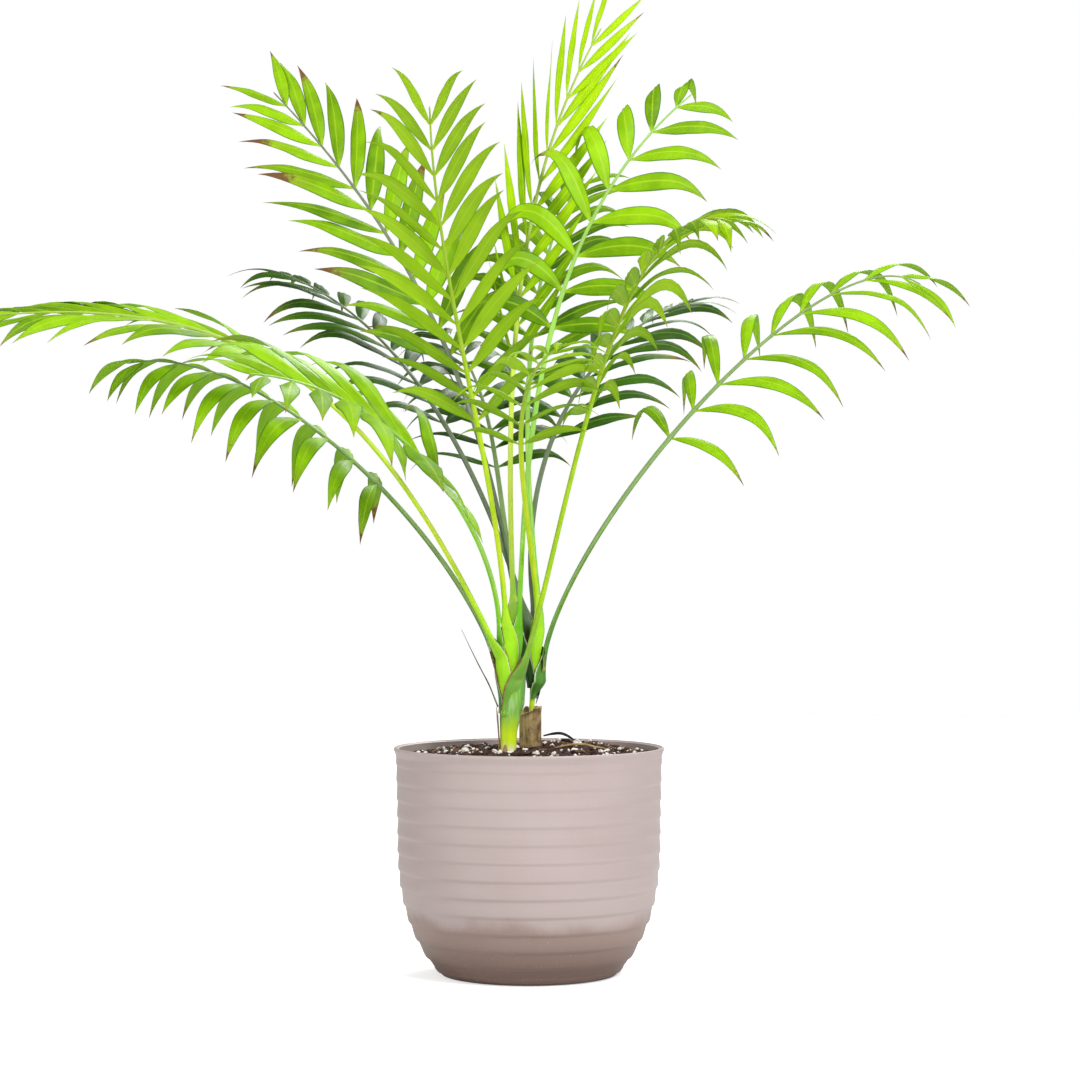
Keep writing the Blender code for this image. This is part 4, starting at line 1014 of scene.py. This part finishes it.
# Each frond: where it sits on its shoot, the points that its stalk rises towards, arches over and ends at,
# its leaflets, how far its sheath wraps the shoot (lowest height, sweep low and high), and its finishes. The
# leaflets follow the frame, but those of frond_front_left are wider and spread more. tone runs from deep to
# bright, dryness from 0 to 1.
fronds = {
    "frond_long_left": {
        "seat": ("front", 0.240, 215), "rise": (-0.105, -0.040, 0.420),
        "arch": (-0.182, -0.120, 0.508), "tip": (-0.372, -0.170, 0.487),
        "first": 0.52, "pairs": 10, "reach": 0.098, "width": 0.0160,
        "spread": (32, 24), "lift": 8, "droop": 0.45, "faces": (0, -0.4, 0.9),
        "wrap": (0.198, 230, 95), "leaf": "greenLeaf", "stalk": "yellowStalk", "tone": 0.75, "dryness": 0.5,
    },
    "frond_low_left": {
        "seat": ("front", 0.232, 150), "rise": (-0.056, -0.005, 0.334),
        "arch": (-0.197, -0.060, 0.478), "tip": (-0.292, -0.090, 0.458),
        "first": 0.42, "pairs": 9, "reach": 0.090, "width": 0.0155,
        "spread": (72, 32), "lift": 5, "droop": 1.9, "faces": (0.1, -0.35, 0.9),
        "wrap": (0.198, 200, 80), "leaf": "greenLeaf", "stalk": "oliveStalk", "tone": 0.95, "dryness": 0.45,
    },
    "frond_front_left": {
        "seat": ("front", 0.250, 200), "rise": (-0.0195, -0.036, 0.345),
        "arch": (-0.100, -0.170, 0.440), "tip": (-0.185, -0.270, 0.440),
        "first": 0.40, "pairs": 9, "reach": 0.112, "width": 0.0225,
        "spread": (80, 36), "lift": 12, "droop": 0.45, "faces": (-0.1, -0.7, 0.7),
        "wrap": (0.215, 200, 90), "leaf": "greenLeaf", "stalk": "brightStalk", "tone": 0.9, "dryness": 0.3,
    },
    "frond_back_left": {
        "seat": ("rear", 0.266, 130), "rise": (-0.034, 0.046, 0.379),
        "arch": (-0.099, 0.140, 0.508), "tip": (-0.208, 0.220, 0.552),
        "first": 0.42, "pairs": 11, "reach": 0.095, "width": 0.0150,
        "spread": (60, 26), "lift": 10, "droop": 0.6, "faces": (0, 0, 1),
        "wrap": (0.232, 180, 90), "leaf": "shadedLeaf", "stalk": "shadedStalk", "tone": 0.5, "dryness": 0.5,
    },
    "frond_front_centre": {
        "seat": ("front", 0.252, 255), "rise": (-0.021, -0.040, 0.381),
        "arch": (-0.067, -0.120, 0.510), "tip": (-0.068, -0.200, 0.628),
        "first": 0.40, "pairs": 13, "reach": 0.088, "width": 0.014,
        "spread": (50, 26), "lift": 14, "droop": 0.3, "faces": (0, 1, 0.5),
        "wrap": (0.212, 220, 110), "leaf": "youngLeaf", "stalk": "yellowStalk", "tone": 0.85, "dryness": 0.2,
    },
    "frond_tall_left": {
        "seat": ("rear", 0.240, 215), "rise": (-0.030, 0.026, 0.426),
        "arch": (-0.079, 0.080, 0.553), "tip": (-0.205, 0.130, 0.688),
        "first": 0.46, "pairs": 12, "reach": 0.096, "width": 0.018,
        "spread": (52, 26), "lift": 8, "droop": 0.25, "faces": (0.25, -1, 0.2),
        "wrap": (0.216, 170, 90), "leaf": "greenLeaf", "stalk": "shadedStalk", "tone": 0.8, "dryness": 0.7,
    },
    "frond_spear": {
        "seat": ("front", 0.266, 60), "rise": (-0.019, 0.010, 0.440),
        "arch": (-0.016, 0.020, 0.597), "tip": (0.055, 0.030, 0.722),
        "first": 0.42, "pairs": 12, "reach": 0.100, "width": 0.0105,
        "spread": (32, 20), "lift": 24, "droop": 0.0, "faces": (0.5, -1, 0),
        "wrap": (0.235, 220, 120), "leaf": "youngLeaf", "stalk": "yellowStalk", "tone": 0.95, "dryness": 0.1,
    },
    "frond_tall_right": {
        "seat": ("front", 0.254, 330), "rise": (-0.003, -0.020, 0.409),
        "arch": (0.007, -0.030, 0.569), "tip": (0.124, 0.020, 0.670),
        "first": 0.50, "pairs": 8, "reach": 0.086, "width": 0.0180,
        "spread": (62, 32), "lift": 5, "droop": 0.8, "faces": (0.1, -1, 0.5),
        "wrap": (0.214, 240, 120), "leaf": "greenLeaf", "stalk": "brightStalk", "tone": 0.85, "dryness": 0.3,
    },
    "frond_front_right": {
        "seat": ("front", 0.224, 325), "rise": (0.025, -0.050, 0.315),
        "arch": (0.057, -0.140, 0.585), "tip": (0.138, -0.240, 0.545),
        "first": 0.48, "pairs": 13, "reach": 0.085, "width": 0.0150,
        "spread": (62, 27), "lift": 8, "droop": 0.85, "faces": (-0.2, -0.3, 1),
        "wrap": (0.196, 230, 120), "leaf": "youngLeaf", "stalk": "silverStalk", "tone": 0.4, "dryness": 0.35,
    },
    "frond_back_right": {
        "seat": ("rear", 0.262, 60), "rise": (-0.014, 0.045, 0.365),
        "arch": (0.025, 0.160, 0.486), "tip": (0.136, 0.270, 0.533),
        "first": 0.40, "pairs": 10, "reach": 0.100, "width": 0.0170,
        "spread": (60, 27), "lift": 8, "droop": 0.6, "faces": (0, 0, 1),
        "wrap": (0.228, 180, 90), "leaf": "shadedLeaf", "stalk": "shadedStalk", "tone": 0.6, "dryness": 0.4,
    },
    "frond_long_right": {
        "seat": ("rear", 0.222, 345), "rise": (0.003, 0.030, 0.312),
        "arch": (0.228, 0.060, 0.578), "tip": (0.303, 0.050, 0.528),
        "first": 0.45, "pairs": 9, "reach": 0.112, "width": 0.0125,
        "spread": (62, 27), "lift": 10, "droop": 1.15, "faces": (-0.25, -0.6, 0.7),
        "wrap": (0.208, 220, 140), "leaf": "greenLeaf", "stalk": "oliveStalk", "tone": 0.85, "dryness": 0.6,
    },
    "frond_young_front": {
        "seat": ("rear", 0.262, 310), "rise": (0.004, -0.030, 0.345),
        "arch": (-0.029, -0.100, 0.447), "tip": (0.026, -0.240, 0.462),
        "first": 0.48, "pairs": 8, "reach": 0.072, "width": 0.0130,
        "spread": (60, 28), "lift": 15, "droop": 0.6, "faces": (0, 0, 1),
        "wrap": (0.228, 160, 90), "leaf": "youngLeaf", "stalk": "yellowStalk", "tone": 0.4, "dryness": 0.2,
    },
    "frond_back_centre": {
        "seat": ("rear", 0.250, 110), "rise": (-0.031, 0.060, 0.344),
        "arch": (-0.017, 0.180, 0.457), "tip": (-0.078, 0.295, 0.510),
        "first": 0.42, "pairs": 10, "reach": 0.095, "width": 0.0150,
        "spread": (60, 26), "lift": 8, "droop": 0.7, "faces": (0, 0, 1),
        "wrap": (0.218, 180, 90), "leaf": "shadedLeaf", "stalk": "oliveStalk", "tone": 0.5, "dryness": 0.4,
    },
    "frond_back_high": {
        "seat": ("rear", 0.270, 20), "rise": (-0.004, 0.040, 0.380),
        "arch": (-0.015, 0.110, 0.540), "tip": (0.045, 0.220, 0.630),
        "first": 0.44, "pairs": 11, "reach": 0.090, "width": 0.0150,
        "spread": (58, 26), "lift": 8, "droop": 0.5, "faces": (0, -0.3, 1),
        "wrap": (0.240, 200, 100), "leaf": "greenLeaf", "stalk": "brightStalk", "tone": 0.3, "dryness": 0.2,
    },
}


def curvePoint(points, share):
    a, b, c, d = points
    rest = 1 - share
    point = rest ** 3 * a + 3 * rest ** 2 * share * b + 3 * rest * share ** 2 * c + share ** 3 * d
    heading = 3 * rest ** 2 * (b - a) + 6 * rest * share * (c - b) + 3 * share ** 2 * (d - c)
    return point, heading.normalized()


# A petiole and rachis as one curve measured along its own length.
def makeStalk(plan):
    shoot, height, side = plan["seat"]
    centre, radius = shootAxis(shoot, height)
    angle = math.radians(side)
    out = Vector((math.cos(angle), math.sin(angle), 0))
    foot = centre + (radius + stem["sheath"] * 1.2 + stem["gap"]) * out
    stalk = {"points": [foot] + [Vector(plan[key]) for key in ("rise", "arch", "tip")], "out": out,
             "faces": Vector(plan["faces"]), "bare": plan["first"], "shares": [0.0]}
    last = foot
    for i in range(1, stem["samples"] + 1):
        point = curvePoint(stalk["points"], i / stem["samples"])[0]
        stalk["shares"].append(stalk["shares"][-1] + (point - last).length)
        last = point
    stalk["length"] = stalk["shares"][-1]
    return stalk


# Point, direction, side and upper vectors at a share of the stalk's length.
def stalkFrame(stalk, along):
    target = along * stalk["length"]
    i = 1
    while i < stem["samples"] and stalk["shares"][i] < target:
        i += 1
    step = (target - stalk["shares"][i - 1]) / (stalk["shares"][i] - stalk["shares"][i - 1])
    point, heading = curvePoint(stalk["points"], (i - 1 + step) / stem["samples"])
    upper = (stalk["faces"] - stalk["faces"].dot(heading) * heading).normalized()
    return point, heading, heading.cross(upper), upper


def stalkRadius(stalk, along):
    if along > stalk["bare"]:
        share = (along - stalk["bare"]) / (1 - stalk["bare"])
        return stem["petiole"] * 0.9 + (stem["rachisTip"] - stem["petiole"] * 0.9) * share
    flare = max(0, 1 - along * stalk["length"] / stem["sheathLength"])
    return stem["petiole"] * (1 - 0.1 * along / stalk["bare"]) + (stem["sheath"] - stem["petiole"]) * flare


def leafletPlace(plan, index):
    return plan["first"] + (0.985 - plan["first"]) * (index + 0.35) / (plan["pairs"] - 0.35)


# One ring of a stalk: a crescent that wraps the shoot (blend 0) turning into a round petiole (blend 1).
def addStalkRing(shape, centre, outward, sideways, radius, wrap, blend, coords, tones):
    half = stem["sides"]
    bend, sweep, thickness = wrap
    middle = centre + outward * (radius - bend)
    loop = []
    for face in (0, 1):
        for j in range(half):
            share = j / (half - 1)
            if face:
                share = 1 - share
            swing = math.radians((share - 0.5) * sweep)
            reach = bend - face * thickness
            crescent = middle + reach * (math.cos(swing) * outward + math.sin(swing) * sideways)
            turn = math.pi * ((j + 0.5) / half - 0.5) + math.pi * face
            groove = 1 - 0.24 * math.exp(-((turn - math.pi) / 0.55) ** 2)
            rounded = centre + radius * groove * (math.cos(turn) * outward + math.sin(turn) * sideways)
            edge = (2 * abs(share - 0.5)) ** 5 * (1 - smoothStep(blend, 0.35, 0.9))
            loop.append(addVert(shape, crescent.lerp(rounded, blend), (2 * share - 1, coords, face),
                                (tones, edge, 0.3)))
    return loop


def addStalk(shape, stalk, plan, name):
    low, lowSweep, highSweep = plan["wrap"]
    shoot, seat, _ = plan["seat"]
    out = stalk["out"]
    foot = stalk["points"][0]
    loops = []
    axis, _ = shootAxis(shoot, seat)
    footBend = (foot - axis).length + stem["sheath"]
    ragged = random.Random(name).uniform(0, 50)
    for i in range(stem["wrapRows"]):
        up = i / stem["wrapRows"]
        height = low + (seat - low) * up
        centre, radius = shootAxis(shoot, height)
        bend = radius + stem["sheet"] + (footBend - radius - stem["sheet"]) * smoothStep(up) ** 1.3
        sweep = lowSweep + (highSweep - lowSweep) * up + 10 * noise.noise(Vector((up * 7, ragged, 0)))
        thickness = stem["sheet"] + 0.0008 * up
        loops.append(addStalkRing(shape, centre + out * (bend - stem["sheath"]), out,
                                  Vector((0, 0, 1)).cross(out), stem["sheath"], (bend, sweep, thickness),
                                  0.0, 0.0, 0.0))
    near, far = stem["footShare"], stem["farRings"]
    places = [near * (i / stem["footRings"]) for i in range(stem["footRings"])]
    places += [near + (0.999 - near) * i / far for i in range(far + 1)]
    spots = [leafletPlace(plan, index) for index in range(plan["pairs"])]
    for along in places:
        point, heading, _, upper = stalkFrame(stalk, along)
        flat = (out - out.dot(heading) * heading).normalized()
        gap = math.atan2(heading.dot((-upper).cross(flat)), (-upper).dot(flat))
        outward = -upper
        outward.rotate(Matrix.Rotation(gap * (1 - smoothStep(along, 0.02, 0.40)), 3, heading))
        rise = along * stalk["length"]
        blend = smoothStep(rise, 0.0, stem["roundBy"])
        radius = stalkRadius(stalk, along)
        nearest = min(abs(along - spot) for spot in spots) * stalk["length"]
        radius *= 1 + 0.16 * math.exp(-(nearest / 0.0022) ** 2) * (along > plan["first"] * 0.97)
        sweep = highSweep * (1 - 0.35 * smoothStep(rise, 0, 0.03))
        bend = footBend * (1 - 0.4 * smoothStep(rise, 0, stem["roundBy"]))
        stretch = along / plan["first"]
        if stretch > 1:
            stretch = 1 + (along - plan["first"]) / (1 - plan["first"])
        loops.append(addStalkRing(shape, point, outward, heading.cross(outward), radius,
                                  (max(bend, radius), sweep, 0.0014 + 0.0012 * blend), blend,
                                  along * stalk["length"] / 0.05, stretch))
    for lower, upper in zip(loops, loops[1:]):
        bridgeLoops(shape, lower, upper, 0)
    addFace(shape, loops[0], 0)
    tip, heading, _, _ = stalkFrame(stalk, 1.0)
    closeLoop(shape, loops[-1], addVert(shape, tip + heading * 0.002, (0, 1, 0), (2, 0, 0.3)), 0)


blade = {
    "stations": 15, "columns": (-1, -0.7, -0.36, 0, 0.36, 0.7, 1), "thickness": 0.00042, "rib": 0.0004,
    "fold": 0.42, "pleat": 0.045, "ripple": 0.05, "baseHalf": 0.0010, "widen": 0.85, "narrow": 1.30,
}


# Share of the full half width at a share of the length: narrow foot, widest before the middle, drawn-out tip.
def bladeWidth(share):
    peak = blade["widen"] / (blade["widen"] + blade["narrow"])
    top = peak ** blade["widen"] * (1 - peak) ** blade["narrow"]
    return share ** blade["widen"] * (1 - share) ** blade["narrow"] / top


# Direction of a leaflet's middle line: it bends steadily, and its tip hangs a little more.
def leafletWay(start, bend, sag, at):
    hang = Vector((0, 0, -sag * smoothStep(at, 0.5, 1.0)))
    return (start + bend * at ** 1.3 + hang).normalized()


# Middle of the crown: leaflets near it are darkened as painted shade.
crownCore = Vector((-0.010, 0.0, 0.420))


def addLeaflet(shape, stalk, plan, index, side):
    share = index / (plan["pairs"] - 1)
    point, heading, across, upper = stalkFrame(stalk, leafletPlace(plan, index))
    low, high = plan["spread"]
    rng = random.Random(f"{plan['tip']}{index}{side}")
    angle = math.radians(low + (high - low) * share ** 0.8 + rng.uniform(-4, 4))
    lift = math.radians(plan["lift"] + rng.uniform(-5, 5))
    out = math.cos(lift) * side * across + math.sin(lift) * upper
    start = math.cos(angle) * heading + math.sin(angle) * out
    length = plan["reach"] * math.sin(math.pi * (0.27 + 0.56 * share)) ** 0.8 * rng.uniform(0.92, 1.05)
    fall = plan["droop"] * rng.uniform(0.75, 1.25) * (1 + max(0, start.z))
    bend = Vector((0, 0, -fall)) + 0.15 * heading
    half = plan["width"] / 2 * (1 - 0.2 * (1 - share) ** 3 - 0.42 * share ** 2)
    roll = -side * (14 + rng.uniform(-4, 4))
    twist = rng.uniform(-38, 38)                 # degrees over the length
    ripples, phase = rng.uniform(1.5, 3.5), rng.uniform(0, math.tau)
    # Painted shade: leaflets deep inside the crown, near crownCore, get a darker tone.
    crownShade = 0.30 + 0.70 * smoothStep((point + start * length * 0.5 - crownCore).length, 0.06, 0.18)
    tone = crownShade * min(1.0, max(0.0, plan["tone"] + rng.uniform(-0.55, 0.35)))
    sag = rng.uniform(0, 1.1) * min(1.0, plan["droop"] + 0.1)     # how far the drawn-out tip hangs
    dryness = plan["dryness"] * rng.uniform(0.2, 1.5) + (0.6 if rng.random() < 0.07 else 0)
    tones = (tone, dryness, rng.uniform(0, 20))
    stations = blade["stations"]
    centre = point + side * across * stalkRadius(stalk, leafletPlace(plan, index)) * 0.5
    last = None
    for i in range(stations):
        at = (i / stations) ** 1.05
        before = ((i - 1) / stations) ** 1.05 if i else 0
        middle = (at + before) / 2
        way = leafletWay(start, bend, sag, middle)
        centre = centre + way * length * (at - before)
        now = leafletWay(start, bend, sag, at)
        wide = (heading - heading.dot(now) * now).normalized()
        wide.rotate(Matrix.Rotation(math.radians(roll + twist * at), 3, now))
        up = side * now.cross(wide)
        reach = max(blade["baseHalf"] * max(0.0, 1 - 4 * at), half * bladeWidth(at))
        fold = blade["fold"] * (1 - 0.75 * smoothStep(at, 0.0, 0.7))
        top, under = [], []
        for column in blade["columns"]:
            sideways = wide * reach * column * math.cos(fold)
            drop = -abs(column) * math.sin(fold) + blade["pleat"] * math.cos(column * math.tau * 1.4)
            drop += blade["ripple"] * column ** 2 * math.sin(ripples * math.tau * at + phase + column)
            body = blade["thickness"] * (1 - abs(column) ** 3) * (1 - 0.6 * at)
            spot = centre + sideways + up * drop * reach
            if abs(column) == 1:
                top.append(addVert(shape, spot, (column, at, 0), tones))
                continue
            rib = blade["rib"] * (1 - at) if column == 0 else 0
            top.append(addVert(shape, spot + up * body / 2, (column, at, 0), tones))
            under.append(addVert(shape, spot - up * (body / 2 + rib), (column, at, 1), tones))
        loop = top + under[::-1]
        if last:
            bridgeLoops(shape, last, loop, 1)
        else:
            addFace(shape, loop, 1)
        last = loop
    way = leafletWay(start, bend, sag, 1.0)
    tip = centre + way * length * (1 - ((stations - 1) / stations) ** 1.05)
    closeLoop(shape, last, addVert(shape, tip, (0, 1, 0), tones), 1)


def makeFronds():
    for name, plan in fronds.items():
        stalk = makeStalk(plan)
        shape = newShape()
        addStalk(shape, stalk, plan, name)
        for index in range(plan["pairs"]):
            for side in (1, -1):
                addLeaflet(shape, stalk, plan, index, side)
        makePiece(f"{name}_leaf", shape, [plan["stalk"], plan["leaf"]], [name], 70)


makeFronds()
print("fronds ready:", len(fronds))


studio = {
    "floorRadius": 3.4, "floorLift": 0.55, "seen": 1.0, "world": 0.43,
    "lamps": {
        "key": {"place": (1.1, -1.8, 2.0), "aim": (0, 0, 0.4), "size": 0.9, "power": 57},
        "fill": {"place": (-1.9, -1.3, 1.3), "aim": (0, 0, 0.4), "size": 1.4, "power": 17},
        "back": {"place": (0.6, 1.9, 1.9), "aim": (0, 0, 0.45), "size": 1.0, "power": 32},
    },
    "cameraPlace": (0.00835, -2.24, 0.329), "lens": 98.3,
}


def makeFloor():
    work = bmesh.new()
    bmesh.ops.create_circle(work, cap_ends=True, segments=96, radius=studio["floorRadius"])
    mesh = bpy.data.meshes.new("floor")
    work.to_mesh(mesh)
    work.free()
    floor = bpy.data.objects.new("floor", mesh)
    floor.location.z = -0.0003
    bpy.context.scene.collection.objects.link(floor)
    material, tree, shader = newMaterial("paleFloor", Specular_IOR_Level=0.2)
    shade = addNoise(tree, objectPlace(tree), 6, 3)
    feed(tree, shader.inputs["Base Color"], addMix(tree, shade, (0.86, 0.86, 0.865), (0.90, 0.90, 0.90)))
    shader.inputs["Roughness"].default_value = 0.8
    shader.inputs["Emission Color"].default_value = (1, 1, 1, 1)
    direct = addNode(tree, "ShaderNodeLightPath").outputs["Is Camera Ray"]
    feed(tree, shader.inputs["Emission Strength"], addMaths(tree, "MULTIPLY", direct, studio["floorLift"]))
    mesh.materials.append(material)


def addLamp(name, place, aim, size, power):
    light = bpy.data.lights.new(name, "AREA")
    light.shape = "DISK"
    light.size = size
    light.energy = power
    lamp = bpy.data.objects.new(name, light)
    lamp.location = place
    lamp.rotation_mode = "QUATERNION"
    lamp.rotation_quaternion = (Vector(aim) - Vector(place)).to_track_quat("-Z", "Y")
    bpy.context.scene.collection.objects.link(lamp)


def makeStudio():
    scene = bpy.context.scene
    scene.world = bpy.data.worlds.new("studio")
    scene.world.use_nodes = True
    sky = scene.world.node_tree.nodes["Background"]
    sky.inputs["Color"].default_value = (1, 1, 1, 1)
    tree = scene.world.node_tree
    direct = addNode(tree, "ShaderNodeLightPath").outputs["Is Camera Ray"]
    more = studio["seen"] - studio["world"]
    feed(tree, sky.inputs["Strength"], addScaled(tree, studio["world"], direct, more))
    for name, lamp in studio["lamps"].items():
        addLamp(name, **lamp)
    scene.view_settings.view_transform = "Standard"
    camera = bpy.data.cameras.new("camera")
    camera.lens = studio["lens"]
    eye = bpy.data.objects.new("camera", camera)
    eye.location = studio["cameraPlace"]
    eye.rotation_euler = (math.radians(90), 0, 0)
    scene.collection.objects.link(eye)
    scene.camera = eye


makeFloor()
makeStudio()
print("stage ready")
